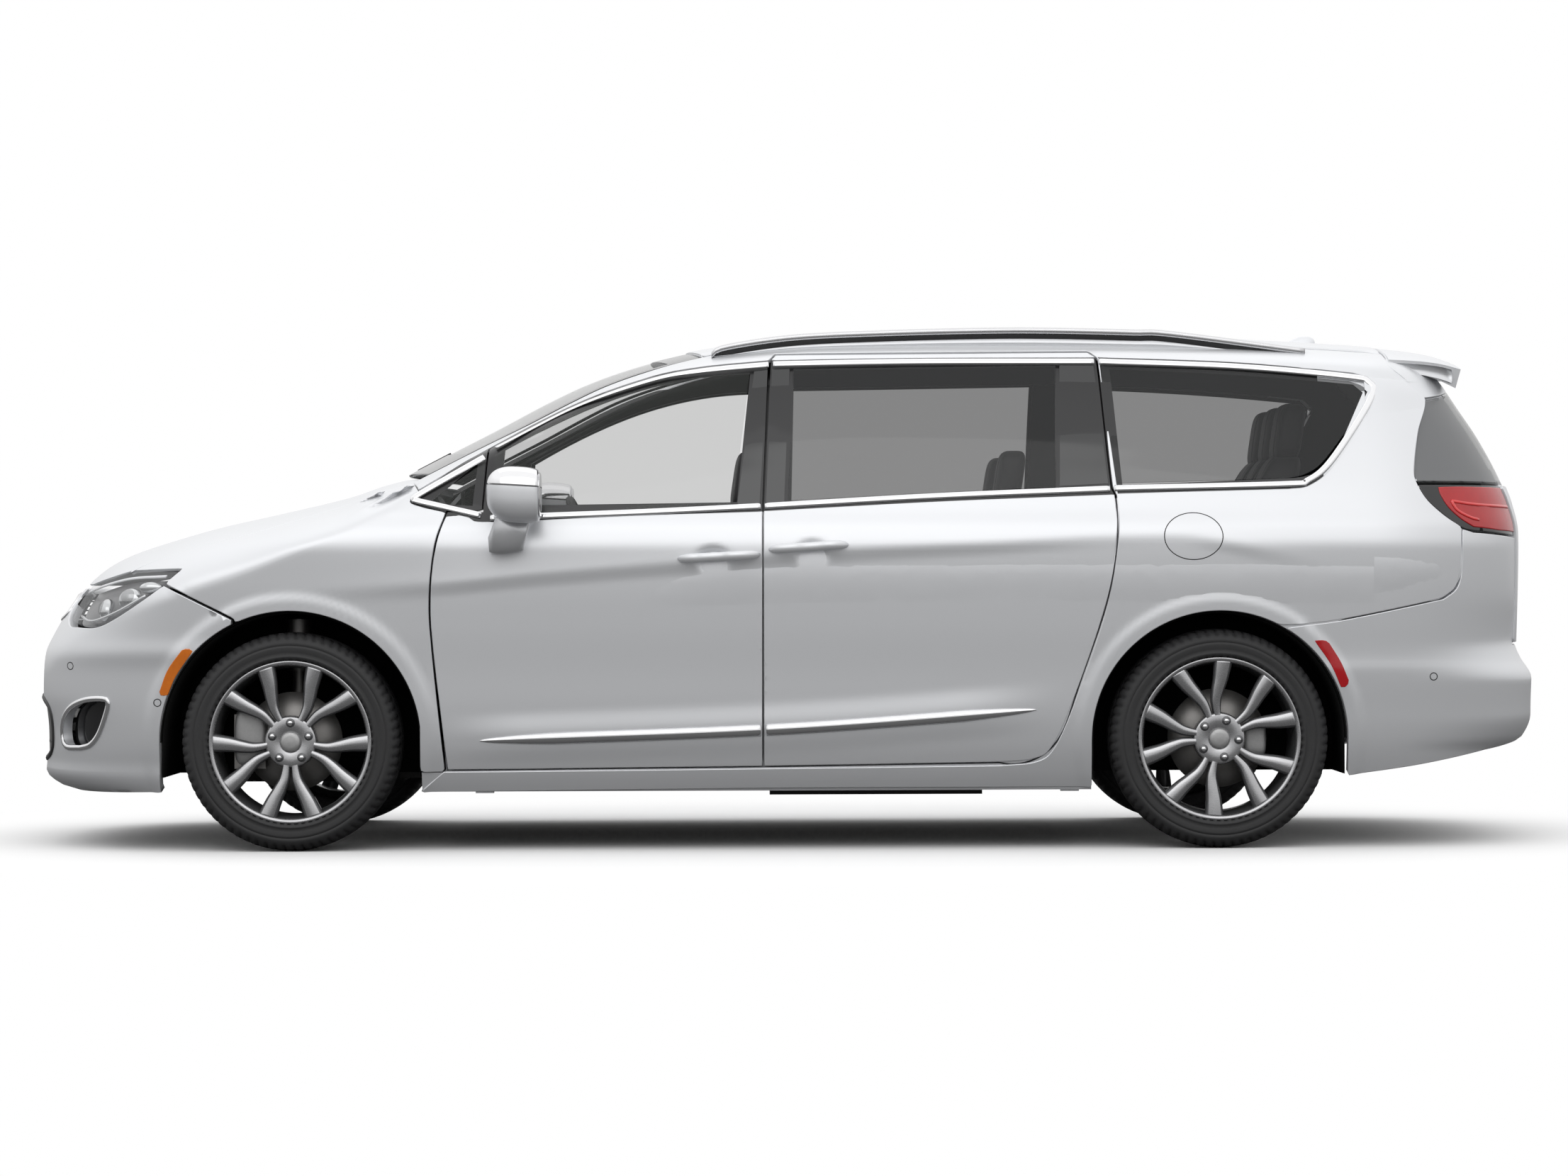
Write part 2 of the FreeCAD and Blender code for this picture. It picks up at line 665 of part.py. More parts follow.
def body_side():
    """Sill, pillars, roof rail and quarter panel of the left side."""
    side = fused([side_layer(0, wall_depth), pillar_strip()])
    for outline, aperture in ((front_door_outline, front_aperture_outline),
                              (sliding_door_outline, sliding_aperture_outline)):
        side = side.cut(door_room.common(across(grown(outline, shut_gap), left_edge, 0)))
        side = side.cut(across(aperture, left_edge, 0))
    for outline in (quarter_glass_outline, corner_glass_outline):
        side = window_in(side, outline)
    side = side.cut(across(grown(fender_outline, seat_gap), left_edge, 0))
    side = side.cut(rear_arch).cut(front_arch).cut(door_sweep())
    side = side.cut(box(corner_x, half_length, left_edge, 0, 0, 2 * roof_height))
    corner = tail_wall.common(box(corner_x, half_length, left_edge, 0, 0, 2 * roof_height))
    for outline, gap in ((tailgate_side_outline, shut_gap), (tail_lamp_outline, seat_gap),
                         (quarter_glass_outline, glass_lap + seat_gap)):
        corner = corner.cut(across(grown(outline, gap), left_edge, 0))
    side = side.fuse(corner)
    side = side.cut(across(grown(rear_bumper_outline, seat_gap), left_edge, 0))
    side = side.cut(box(rear_axle_x, half_length, left_edge, 0, 0, rear_skirt_high))
    whole = fused([side] + body_hinges() + [jack_pad(x) for x in jack_pad_places])
    return max(whole.Solids, key=lambda solid: solid.Volume)


corner_x = 0.7565 * half_length
rear_skirt_high = 0.250 * roof_height

# Flat pads under the sill for a jack
jack_pad_places = [-1000.0, 950.0]
jack_pad_y = -905.0
jack_pad_length = 60.0
jack_pad_width = 36.0
jack_pad_drop = 6.0


def jack_pad(x):
    half_pad = jack_pad_length / 2
    return box(x - half_pad, x + half_pad, jack_pad_y - jack_pad_width / 2, jack_pad_y + jack_pad_width / 2,
               sill_height - jack_pad_drop, sill_height + 2 * jack_pad_drop)


# Tail layers
tail_heights = pole_steps(0.115 * roof_height, 0.940 * roof_height, 12)
tail_end_x = 0.700 * half_length
tail_depth = skin_depth + 10.0


def tail_layer(outer_inset, inner_inset):
    grids = [end_sections(tail_heights, tail_line, tail_end_x, tail_line, cabin_line, cabin_drop, inset, 21)
             for inset in (outer_inset, inner_inset)]
    return wall(grids[0], grids[1])


tail_wall = tail_layer(0, tail_depth)

# Outlines of the glass panes and openings at the tail, as shares of body_half_width and roof_height
tailgate_half_width = 0.62 * body_half_width
gate_window_half_width = 0.56 * body_half_width
gate_shell_top = 0.936 * roof_height
rear_glass_low = 0.700 * roof_height
rear_glass_high = 0.890 * roof_height


def full_box(x0, x1, half_width, z0, z1):
    return box(x0, x1, -half_width, half_width, z0, z1)


def both(shape):
    """The left shape and its mirror image, as one compound."""
    return Part.makeCompound(shape.Solids + mirrored(shape).Solids)


def through(runs):
    return across(runs, left_edge, -left_edge)


def tailgate():
    """Lower shell with the window, and the spoiler over it that carries the hinges."""
    glass_zone = full_box(tail_end_x, 2 * half_length, body_half_width, rear_glass_low, rear_glass_high)
    shell = tail_wall.common(through(tailgate_side_outline))
    recess = tail_layer(-skin_depth, glass_inset).common(glass_zone)
    opening = full_box(tail_end_x, 2 * half_length, gate_window_half_width,
                       rear_glass_low + skin_depth, rear_glass_high - skin_depth)
    lower_zone = full_box(tail_end_x, 2 * half_length, body_half_width, 0, rear_glass_low - shut_gap)
    lower_keep = full_box(tail_end_x, 2 * half_length, tailgate_half_width, 0, roof_height)
    shell = shell.cut(recess).cut(opening).cut(lower_zone.cut(lower_keep))
    shell = shell.common(full_box(tail_end_x, 2 * half_length, body_half_width, 0, gate_shell_top))
    top = spoiler()
    for side in (-1, 1):
        top = top.cut(gate_hinge_pocket(side)).fuse(gate_hinge_leaf(side))
    return fused([shell, top])


# Liftgate hinges: the axis runs across, under the front edge of the spoiler
gate_gap = 14.0
gate_hinge_x = roof_rear_s + gate_gap + skin_depth
gate_hinge_z = 0.9595 * roof_height
gate_hinge_y = 204.0
gate_hinge_radius = 5.0
gate_hinge_width = 14.0
gate_hinge_room = 2.0
gate_arm_drop = 56.0
spoiler_lip_x = 0.892 * half_length
spoiler_under_x = 0.885 * half_length
spoiler_front_half_width = 0.66 * body_half_width
spoiler_rear_half_width = 0.61 * body_half_width
spoiler_front_depth = 0.6 * skin_depth


def gate_hinge_pocket(side):
    reach = gate_hinge_width + 2 * gate_hinge_room
    centre = side * gate_hinge_y
    return box(roof_rear_s, gate_hinge_x + 2 * gate_hinge_radius, centre - reach, centre + reach,
               gate_hinge_z - 2 * gate_arm_drop, gate_hinge_z + gate_hinge_radius + gate_hinge_room)


def gate_hinge_leaf(side):
    """Hinge barrel on the liftgate, with the block that carries it."""
    inner = side * (gate_hinge_y + seat_gap)
    outer = side * (gate_hinge_y + gate_hinge_width)
    barrel = rod(Vector(gate_hinge_x, inner, gate_hinge_z), Vector(0, side, 0), gate_hinge_radius,
                 gate_hinge_width - seat_gap)
    block = box(gate_hinge_x, gate_hinge_x + 3 * gate_hinge_radius, inner, outer,
                gate_hinge_z - gate_hinge_radius, gate_hinge_z + gate_hinge_radius + 2 * gate_hinge_room)
    return barrel.fuse(block)


def gate_hinge_arm(side):
    """Gooseneck arm on the roof that carries the fixed hinge barrel."""
    inner = side * (gate_hinge_y - gate_hinge_width)
    outer = side * gate_hinge_y
    half = 0.8 * gate_hinge_radius
    low = gate_hinge_z - gate_arm_drop
    front_x = roof_rear_s - gate_arm_drop
    top = roof_height_at(front_x, gate_hinge_y) - roof_skin / 2
    barrel = rod(Vector(gate_hinge_x, inner, gate_hinge_z), Vector(0, side, 0), gate_hinge_radius,
                 gate_hinge_width)
    upright = box(gate_hinge_x - half, gate_hinge_x + half, inner, outer, low, gate_hinge_z)
    foot = box(front_x, gate_hinge_x + half, inner, outer, low, low + 2 * half)
    neck = box(front_x, roof_rear_s - gate_gap, inner, outer, low, top)
    return fused([barrel, upright, foot, neck])


def spoiler():
    """Rear edge of the roof that belongs to the tailgate, from the hinge gap to the lip."""
    front_x = roof_rear_s + gate_gap
    top = []
    under = []
    for share in pole_steps(0, 1, 8):
        x = front_x + (spoiler_lip_x - front_x) * share
        low_x = front_x + (spoiler_under_x - front_x) * share
        half = spoiler_front_half_width + share * (spoiler_rear_half_width - spoiler_front_half_width)
        sunk = spoiler_front_depth + share * skin_depth
        ys = pole_steps(-half, half, 13)
        top.append([Vector(x, y, roof_height_at(x, y)) for y in ys])
        under.append([Vector(low_x, y, roof_height_at(x, y) - sunk) for y in ys])
    return wall(top, under)


def tailgate_glass():
    glass_zone = full_box(tail_end_x, 2 * half_length, body_half_width, rear_glass_low + shut_gap,
                          rear_glass_high - shut_gap)
    layer = tail_layer(glass_inset - 2 * glass_thickness, glass_inset - seat_gap)
    return layer.common(glass_zone).common(through(grown(tailgate_side_outline, -seat_gap)))


# Roof, windscreen and hood
def band(point, xs, edge_v, columns):
    """Face over the middle of the body, from one edge to the other."""
    return spread(sections(point, xs, lambda x: -edge_v, edge_v, columns))


def roof_panel():
    xs = pole_steps(roof_front_s, roof_rear_s, 16)
    skin = top_layer(band(cabin_point, xs, roof_edge_v, 13), 0, roof_skin)
    return fused([skin, gate_hinge_arm(-1), gate_hinge_arm(1)])


def headliner():
    xs = pole_steps(roof_front_s + lid_gap, roof_rear_s - 20 * lid_gap, 14)
    return top_layer(band(cabin_point, xs, headliner_edge_v, 11), roof_skin + seat_gap, roof_depth - roof_skin)


def windscreen():
    xs = pole_steps(screen_base_s, roof_front_s - shut_gap, 12)
    return top_layer(band(cabin_point, xs, screen_edge_v, 13), 0, screen_depth)


hood_depth = 22.0
hood_front_s = -0.9480 * half_length
hood_rear_s = -0.4200 * half_length
hood_edge_v = 0.43
cowl_front_s = -0.560 * half_length
cowl_rear_s = -0.440 * half_length
hood_rear_half_width = 0.85 * body_half_width
hood_side_shares = [(-0.8500, 0.745), (-0.7100, 0.780), (-0.5970, 0.745), (-0.4750, 0.690)]


def hood_plan(gap):
    """Plan outline of the hood: sides, and a rear edge that follows the windscreen base."""
    side = [Vector(a * half_length, b * body_half_width + gap, 0) for a, b in hood_side_shares]
    rear = []
    for share in steps(1, 0, 5):
        y = share * side[-1].y
        reach = y / hood_rear_half_width
        rear.append(Vector(screen_base_s - 2 * lid_gap + gap + screen_bow(screen_base_s) * reach ** 2, y, 0))
    half = [Vector(-half_length, side[0].y, 0)] + side + rear[1:]
    loop = half + [Vector(place.x, -place.y, 0) for place in reversed(half[:-1])]
    edges = [Part.makeLine(loop[i - 1], loop[i]) for i in range(len(loop))]
    face = Part.Face(Part.Wire(Part.__sortEdges__(edges)))
    return pushed(face, Vector(0, 0, 0), Vector(0, 0, 2 * roof_height))


hood_front_outline = side_outline([
    [(-1.0500, 0.100), (-1.0500, 0.5085)],
    [(-1.0500, 0.5085), (-0.9180, 0.5085)],
    [(-0.9180, 0.5085), (-0.8496, 0.5345)],
    [(-0.8496, 0.5345), (-0.8400, 0.5480)],
    [(-0.8400, 0.5480), (-0.3500, 0.5480)],
    [(-0.3500, 0.5480), (-0.3500, 0.100)],
    [(-0.3500, 0.100), (-1.0500, 0.100)],
])


def hood_face(first, last, edge_v, rows, columns):
    return band(hood_point, pole_steps(first, last, rows), edge_v, columns)


# Hood hinges: the axis runs across, under the lower edge of the windscreen
hood_hinge_x = -0.4582 * half_length
hood_hinge_z = 0.6996 * roof_height
hood_hinge_y = 0.606 * body_half_width
hood_arm_width = 6.0
hood_arm_half = 7.0
hood_pin_radius = 5.0
hood_arm_shares = [(0, 0), (-0.0213, -0.0343), (-0.0367, -0.0040)]
hood_bracket_shares = [(0, 0), (0, -0.0500), (-0.0430, -0.0500)]


def strip(shares, half, y0, y1):
    """Flat arm in the side view along a line of places from the hood hinge axis."""
    hinge = Vector(hood_hinge_x, 0, hood_hinge_z)
    places = [hinge + at(a, b) for a, b in shares]
    out = Vector(0, 1 if y1 > y0 else -1, 0)
    pieces = [rod(Vector(place.x, y0, place.z), out, half, abs(y1 - y0)) for place in places]
    for first, second in zip(places, places[1:]):
        side = (second - first).cross(Vector(0, 1, 0)).normalize() * half
        corners = [first + side, second + side, second - side, first - side]
        pieces.append(across([[corners[i - 1], corners[i]] for i in range(4)], y0, y1))
    return fused(pieces)


def hood_arm(side):
    inner = side * (hood_hinge_y + seat_gap)
    arm = strip(hood_arm_shares, hood_arm_half, inner, inner + side * hood_arm_width)
    bore = rod(Vector(hood_hinge_x, 0, hood_hinge_z), Vector(0, side, 0), hood_pin_radius + seat_gap,
               body_half_width)
    return arm.cut(bore)


def hood_bracket(side):
    """Cowl bracket with the hinge pin of the hood."""
    outer = side * hood_hinge_y
    bracket = strip(hood_bracket_shares, hood_arm_half, outer, outer - side * hood_arm_width)
    pin = rod(Vector(hood_hinge_x, outer - side * hood_arm_width, hood_hinge_z), Vector(0, side, 0),
              hood_pin_radius, 3 * hood_arm_width)
    return bracket.fuse(pin)


def hood():
    face = hood_face(hood_front_s, hood_rear_s, hood_edge_v, 16, 15)
    panel = top_layer(face, 0, hood_depth).common(hood_plan(0))
    panel = panel.cut(through(hood_front_outline))
    return fused([panel, hood_arm(-1), hood_arm(1)])


fender_front_s = -0.8600 * half_length
fender_rear_s = -0.4000 * half_length
fender_edge_v = 0.16
fender_inner_half_width = 0.655 * body_half_width


def fender():
    rows = sections(hood_point, pole_steps(fender_front_s, fender_rear_s, 14), lambda x: -fender_edge_v, -1, 13)
    travel = Vector(0, skin_depth, -skin_depth)
    skin = pushed(spread(rows), Vector(0, 0, 0), travel)
    panel = skin.common(across(fender_outline, left_edge, 0))
    panel = panel.cut(hood_plan(shut_gap)).cut(front_arch).cut(door_sweep())
    return panel.cut(full_box(-half_length, 0, fender_inner_half_width, 0, roof_height))


# Nose layers
nose_heights = pole_steps(0.110 * roof_height, 0.560 * roof_height, 13)
nose_end_x = -0.660 * half_length
bumper_depth = 36.0


def nose_tip(z):
    """Foremost x of the body at height z: the nose line, and above it the hood line."""
    low, high = -half_length, nose_end_x
    if z <= nose_line_shares[-1][0] * roof_height:
        return nose_line(z)
    for _ in range(40):
        middle = (low + high) / 2
        if hood_line(middle) < z:
            low = middle
        else:
            high = middle
    return high


def nose_layer(outer_inset, inner_inset):
    grids = [end_sections(nose_heights, nose_tip, nose_end_x, tail_line, hood_line, hood_drop, inset, 31)
             for inset in (outer_inset, inner_inset)]
    return wall(grids[0], grids[1])


upper_grille = [0.44 * body_half_width, 0.440 * roof_height, 0.488 * roof_height]
lower_grille = [0.60 * body_half_width, 0.165 * roof_height, 0.290 * roof_height]
fog_outline = side_outline([
    [(-0.9500, 0.196), (-0.9150, 0.196)],
    [(-0.9150, 0.196), (-0.8980, 0.206), (-0.8870, 0.222)],
    [(-0.8870, 0.222), (-0.8730, 0.281)],
    [(-0.8730, 0.281), (-0.8790, 0.290), (-0.9040, 0.288), (-0.9300, 0.275), (-0.9500, 0.250)],
    [(-0.9500, 0.250), (-0.9500, 0.196)],
])


def nose_window(sizes, margin):
    half_width, low, high = sizes
    return full_box(-half_length - overrun, nose_round_x - overrun / 3, half_width + margin, low - margin,
                    high + margin)


def front_bumper():
    shell = nose_layer(0, bumper_depth).common(through(bumper_outline))
    for sizes in (upper_grille, lower_grille):
        shell = shell.cut(nose_window(sizes, 0))
    for cutter in (across(fog_outline, left_edge, 0), across(grown(fender_outline, seat_gap), left_edge, 0),
                   front_arch):
        shell = shell.cut(cutter).cut(mirrored(cutter))
    return shell


bar_count = 4
bar_share = 0.30
grille_rim = 10.0
lamp_inset = 1.5
lamp_depth = 1.6 * bumper_depth
lamp_inner_half_width = 0.485 * body_half_width


def grille():
    """Grille frames with their bars, one solid in each opening of the bumper."""
    solids = []
    layer = nose_layer(glass_inset / 2, bumper_depth)
    for sizes in (upper_grille, lower_grille):
        half_width, low, high = sizes
        field = layer.common(nose_window(sizes, -seat_gap))
        pitch = (high - low - 2 * grille_rim) / bar_count
        for k in range(bar_count):
            z = low + grille_rim + (k + bar_share) * pitch
            slot = full_box(-half_length - overrun, nose_round_x, half_width / 2 - grille_rim, z,
                            z + pitch * (1 - bar_share))
            for shift in (-half_width / 2, half_width / 2):
                moved = slot.copy()
                moved.translate(Vector(0, shift, 0))
                field = field.cut(moved)
        solids += field.Solids
    return Part.makeCompound(solids)


def headlamps():
    lamp = nose_layer(lamp_inset, lamp_depth).common(across(lamp_outline, left_edge, 0))
    return both(lamp.common(box(-half_length, 0, left_edge, -lamp_inner_half_width, 0, roof_height)))


def tail_lamps():
    zone = box(tail_end_x, 2 * half_length, left_edge, -tailgate_half_width - shut_gap, 0, roof_height)
    lamp = tail_layer(0, skin_depth).common(across(tail_lamp_outline, left_edge, 0)).common(zone)
    return both(lamp)


rear_bumper_shares = [
    (0.120, 0.958), (0.184, 0.969), (0.202, 0.988), (0.245, 1.000), (0.315, 1.000), (0.352, 0.986),
    (0.390, 0.977), (0.480, 0.980), (0.620, 0.981),
]
rear_bumper_line = along(rear_bumper_shares, roof_height, half_length)


rear_bumper_end_x = 0.640 * half_length
gate_bottom_z = 0.385 * roof_height


def rear_bumper():
    heights = pole_steps(0.122 * roof_height, 0.610 * roof_height, 15)
    grids = [end_sections(heights, rear_bumper_line, rear_bumper_end_x, rear_bumper_line, cabin_line, cabin_drop,
                          inset, 31) for inset in (0, skin_depth)]
    shell = wall(grids[0], grids[1]).common(through(rear_bumper_outline))
    shell = shell.cut(full_box(tail_end_x, 2 * half_length, tailgate_half_width + shut_gap,
                               gate_bottom_z - shut_gap, roof_height))
    for cutter in (across(grown(tail_lamp_outline, seat_gap), left_edge, 0), rear_arch):
        shell = shell.cut(cutter).cut(mirrored(cutter))
    return shell


# Floor, firewall, chassis
floor_low = 0.128 * roof_height
floor_depth = 50.0
rear_floor_low = 0.270 * roof_height
kick_x = 0.380 * half_length
firewall_x = -0.500 * half_length
floor_rear_x = 0.940 * half_length
tray_half_width = 0.780 * body_half_width
side_front_x = -0.460 * half_length
firewall_shoulder_z = 0.540 * roof_height
cowl_half_width = 0.635 * body_half_width
rear_floor_narrow_x = 0.72 * half_length
rear_floor_half_width = 0.70 * body_half_width


def floor_pan():
    """Floor with the step up over the rear axle, and the firewall with the cowl on it."""
    front = full_box(side_front_x, kick_x, body_half_width, floor_low, floor_low + floor_depth)
    toe = full_box(firewall_x, side_front_x + floor_depth, tray_half_width, floor_low, floor_low + floor_depth)
    step = full_box(kick_x - floor_depth, kick_x, body_half_width, floor_low, rear_floor_low + floor_depth)
    rear = full_box(kick_x - floor_depth, floor_rear_x, body_half_width, rear_floor_low,
                    rear_floor_low + floor_depth)
    cowl = hood_face(cowl_front_s, cowl_rear_s, hood_edge_v, 8, 15)
    under_hood = top_layer(cowl, hood_depth + lid_gap, roof_height)
    low_wall = full_box(firewall_x - floor_depth / 2, firewall_x, tray_half_width, floor_low, firewall_shoulder_z)
    high_wall = full_box(firewall_x - floor_depth / 2, firewall_x, cowl_half_width, floor_low, roof_height)
    pan = fused([front, toe, step, rear, low_wall, high_wall.common(under_hood)])
    side_room = side_layer(-overrun / 2, overrun / 2 + wall_depth + seat_gap)
    for cutter in (side_room, rear_arch, front_arch):
        pan = pan.cut(cutter).cut(mirrored(cutter))
    trim = full_box(rear_floor_narrow_x, half_length, rear_floor_half_width, 0, roof_height)
    keep = full_box(-half_length, rear_floor_narrow_x, body_half_width, 0, roof_height)
    return fused([pan.common(fused([trim, keep])), hood_bracket(-1), hood_bracket(1)])


engine_half_width = 0.36 * body_half_width
engine_front_x = -0.800 * half_length
engine_rear_x = -0.560 * half_length
engine_high = 0.500 * roof_height


def engine():
    return full_box(engine_front_x, engine_rear_x, engine_half_width, subframe_high + seat_gap, engine_high)


subframe_front_x = -0.790 * half_length
subframe_low = 0.118 * roof_height
subframe_high = 0.160 * roof_height
kingpin_inset = 85.0
kingpin_y = half_track - kingpin_inset
arm_width = 44.0
joint_drop = 140.0
joint_height = axle_height - joint_drop
joint_radius = 20.0


def front_subframe():
    """Cradle under the engine with the two lower arms and their ball joints."""
    cradle = full_box(subframe_front_x, firewall_x - floor_depth / 2 - seat_gap, engine_half_width, subframe_low,
                      subframe_high)
    arms = []
    for side in (-1, 1):
        arms.append(box(front_axle_x - arm_width / 2, front_axle_x + arm_width / 2, side * engine_half_width,
                        side * kingpin_y, joint_height - arm_width / 2, joint_height))
        arms.append(rod(Vector(front_axle_x, side * kingpin_y, joint_height - arm_width / 2), Vector(0, 0, 1),
                        joint_radius, arm_width / 2 + joint_radius))
    return fused([cradle] + arms)


hub_radius = 58.0
spindle_radius = 30.0
disc_radius = 165.0
disc_depth = 14.0
disc_back_y = 18.0
caliper_inner = 0.55 * disc_radius
caliper_outer = 1.18 * disc_radius
liner_wall = 4.0
rim_back_inset = 20.0
rim_back_y = half_track - rim_back_inset


def knuckle():
    """Left front knuckle: upright, hub carrier, spindle, strut and brake caliper."""
    base = joint_height + joint_radius + seat_gap
    upright = box(front_axle_x - arm_width, front_axle_x + arm_width, -kingpin_y - joint_radius,
                  -kingpin_y + joint_radius, base, axle_height + 2 * hub_radius)
    carrier = rod(Vector(front_axle_x, -rim_back_y, axle_height), inward, hub_radius, rim_back_y - kingpin_y)
    spindle = rod(Vector(front_axle_x, -half_track - joint_radius, axle_height), inward, spindle_radius,
                  hub_radius + joint_radius)
    strut_y = kingpin_y - 4.5 * joint_radius
    bridge = box(front_axle_x - arm_width, front_axle_x + arm_width, -kingpin_y, -strut_y + joint_radius,
                 axle_height + hub_radius, axle_height + 2 * hub_radius)
    strut_top = tyre_radius + front_arch_gap - liner_wall - 4 * running_gap
    strut = rod(Vector(front_axle_x, -strut_y, axle_height + hub_radius), Vector(0, 0, 1), 1.2 * joint_radius,
                strut_top - hub_radius)
    spring = rod(Vector(front_axle_x, -strut_y, axle_height + 4 * hub_radius), Vector(0, 0, 1), 2 * joint_radius,
                 3 * hub_radius)
    pad_y = -half_track - disc_back_y + disc_depth + running_gap
    caliper = box(front_axle_x - caliper_outer, front_axle_x - caliper_inner,
                  -half_track - disc_back_y - disc_depth, pad_y + disc_depth,
                  axle_height - caliper_inner, axle_height + caliper_inner)
    slot = rod(Vector(front_axle_x, -half_track - disc_back_y - running_gap, axle_height), inward,
               disc_radius + running_gap, disc_depth + 2 * running_gap)
    bracket = box(front_axle_x - caliper_outer, front_axle_x, pad_y, pad_y + disc_depth,
                  axle_height - hub_radius, axle_height + hub_radius)
    return fused([upright, carrier, spindle, bridge, strut, spring, caliper.cut(slot), bracket])


rear_beam_radius = 32.0
trailing_arm_y = 0.50 * body_half_width


def rear_axle():
    """Rear beam with the trailing arms, hub carriers, spindles and springs."""
    beam = rod(Vector(rear_axle_x, -kingpin_y, axle_height), inward, rear_beam_radius, 2 * kingpin_y)
    solids = [beam]
    for side in (-1, 1):
        out = Vector(0, side, 0)
        solids.append(rod(Vector(rear_axle_x, side * (kingpin_y - hub_radius), axle_height), out, hub_radius,
                          rim_back_y - kingpin_y + hub_radius))
        solids.append(rod(Vector(rear_axle_x, side * rim_back_y, axle_height), out, spindle_radius,
                          half_track + joint_radius - rim_back_y))
        arm_y = side * trailing_arm_y
        solids.append(box(kick_x + seat_gap, rear_axle_x, arm_y - arm_width / 2, arm_y + arm_width / 2,
                          axle_height - arm_width / 2, axle_height + arm_width / 2))
        solids.append(rod(Vector(rear_axle_x - 2 * arm_width, arm_y, axle_height), Vector(0, 0, 1), arm_width,
                          rear_floor_low - axle_height - seat_gap))
    return fused(solids)


pair_count = 5
pair_lean = 11.0
first_pair_turn = 180.0
spoke_depth = 34.0
spoke_offset = 16.0
spoke_root_half = 10.0
spoke_tip_half = 17.0
spoke_tip_offset = 1.2 * spoke_offset
spoke_root_radius = 0.20 * rim_radius
spoke_root_y = -98.0
spoke_tip_y = -106.0
barrel_wall = 12.0
barrel_half = tyre_width / 2 - 14.0
barrel_step = 2.0
rim_lip = rim_radius + 9.0
hub_front_y = -102.0
hub_back_y = -40.0
hub_disc_radius = 0.27 * rim_radius
hat_front_y = -82.0
hat_back_y = -14.0
hat_radius = 0.22 * rim_radius


def wheel_profile(points):
    """Solid of revolution about the y axis through the origin, from radius and y pairs."""
    loop = [Vector(r, y, 0) for r, y in points]
    wire = Part.makePolygon(loop + [loop[0]])
    return Part.Face(wire).revolve(Vector(0, 0, 0), Vector(0, 1, 0), 360)


def spoke(lean):
    """One blade of a pair, at the top of the wheel, beside the pair's axis."""
    front = [
        Vector(lean * spoke_offset - spoke_root_half, spoke_root_y, spoke_root_radius),
        Vector(lean * spoke_offset + spoke_root_half, spoke_root_y, spoke_root_radius),
        Vector(lean * spoke_tip_offset + spoke_tip_half, spoke_tip_y, rim_radius - barrel_wall / 2),
        Vector(lean * spoke_tip_offset - spoke_tip_half, spoke_tip_y, rim_radius - barrel_wall / 2),
    ]
    blade = Part.Face(Part.makePolygon(front + front[:1])).extrude(Vector(0, spoke_depth, 0))
    blade.rotate(Vector(0, 0, 0), Vector(0, 1, 0), lean * pair_lean)
    return blade


def rim():
    """Left wheel rim about the origin: barrel, twin spokes, hub, and the brake disc behind."""
    well = rim_radius - barrel_step
    seat = rim_radius - barrel_wall
    barrel = wheel_profile([
        (seat, -barrel_half), (rim_lip, -barrel_half), (rim_lip, -barrel_half + barrel_wall),
        (well, -barrel_half + barrel_wall), (well, barrel_half - barrel_wall),
        (rim_lip, barrel_half - barrel_wall), (rim_lip, barrel_half), (seat, barrel_half),
    ])
    solids = [barrel, rod(Vector(0, hub_front_y, 0), inward, hub_disc_radius, hub_back_y - hub_front_y)]
    for k in range(pair_count):
        for lean in (-1, 1):
            blade = spoke(lean)
            blade.rotate(Vector(0, 0, 0), Vector(0, 1, 0), first_pair_turn + 360 / pair_count * k)
            solids.append(blade)
    solids.append(rod(Vector(0, -disc_back_y, 0), inward, disc_radius, disc_depth))
    solids.append(rod(Vector(0, hat_front_y, 0), inward, hat_radius, hat_back_y - hat_front_y))
    bore = rod(Vector(0, -joint_radius - barrel_step, 0), inward, spindle_radius + seat_gap, tyre_width)
    return fused(solids).cut(bore)


# Half of the tyre's section, radius and distance from the outer sidewall
tyre_lip_clearance = 0.3
tyre_section_shares = [
    (1.0534, 0.0490), (1.1908, 0.0000), (1.2366, 0.0163), (1.3359, 0.1143), (1.3779, 0.2776), (1.3893, 0.5714),
]


def tyre():
    """Left tyre about the origin, from the bead over sidewall and tread to the other bead."""
    half = tyre_width / 2
    bead = half - barrel_half + barrel_wall + tyre_lip_clearance
    side = [(rim_radius - barrel_step + seat_gap, bead), (rim_lip + tyre_lip_clearance, bead)]
    side += [(min(a * rim_radius, tyre_radius), b * half) for a, b in tyre_section_shares]
    profile = [(r, -half + inset) for r, inset in side]
    return wheel_profile(profile + [(r, -y) for r, y in reversed(profile)])


def placed(shape, x, side):
    """A left wheel part at its axle; the right one is the mirror image."""
    moved = shape.copy()
    moved.translate(Vector(x, -half_track, axle_height))
    return moved if side < 0 else mirrored(moved)


liner_outer_y = 0.930 * body_half_width


def wheel_liners():
    """The four arch liners, open below."""
    solids = []
    for axle_x, gap, inner in ((front_axle_x, front_arch_gap, front_arch_inner),
                               (rear_axle_x, rear_arch_gap, rear_arch_inner)):
        radius = tyre_radius + gap - seat_gap
        start = Vector(axle_x, -liner_outer_y, axle_height)
        depth = liner_outer_y + inner
        tube = rod(start, inward, radius, depth).cut(rod(start, inward, radius - liner_wall, depth))
        tube = tube.cut(box(axle_x - radius, axle_x + radius, left_edge, 0, axle_height - radius, axle_height))
        solids.append(tube)
    return Part.makeCompound([s for tube in solids for s in both(tube).Solids])


def side_block(points, y0, y1):
    """Prism of a straight side view outline given in shares."""
    return across([[at(*points[i - 1]), at(*points[i])] for i in range(len(points))], y0, y1)


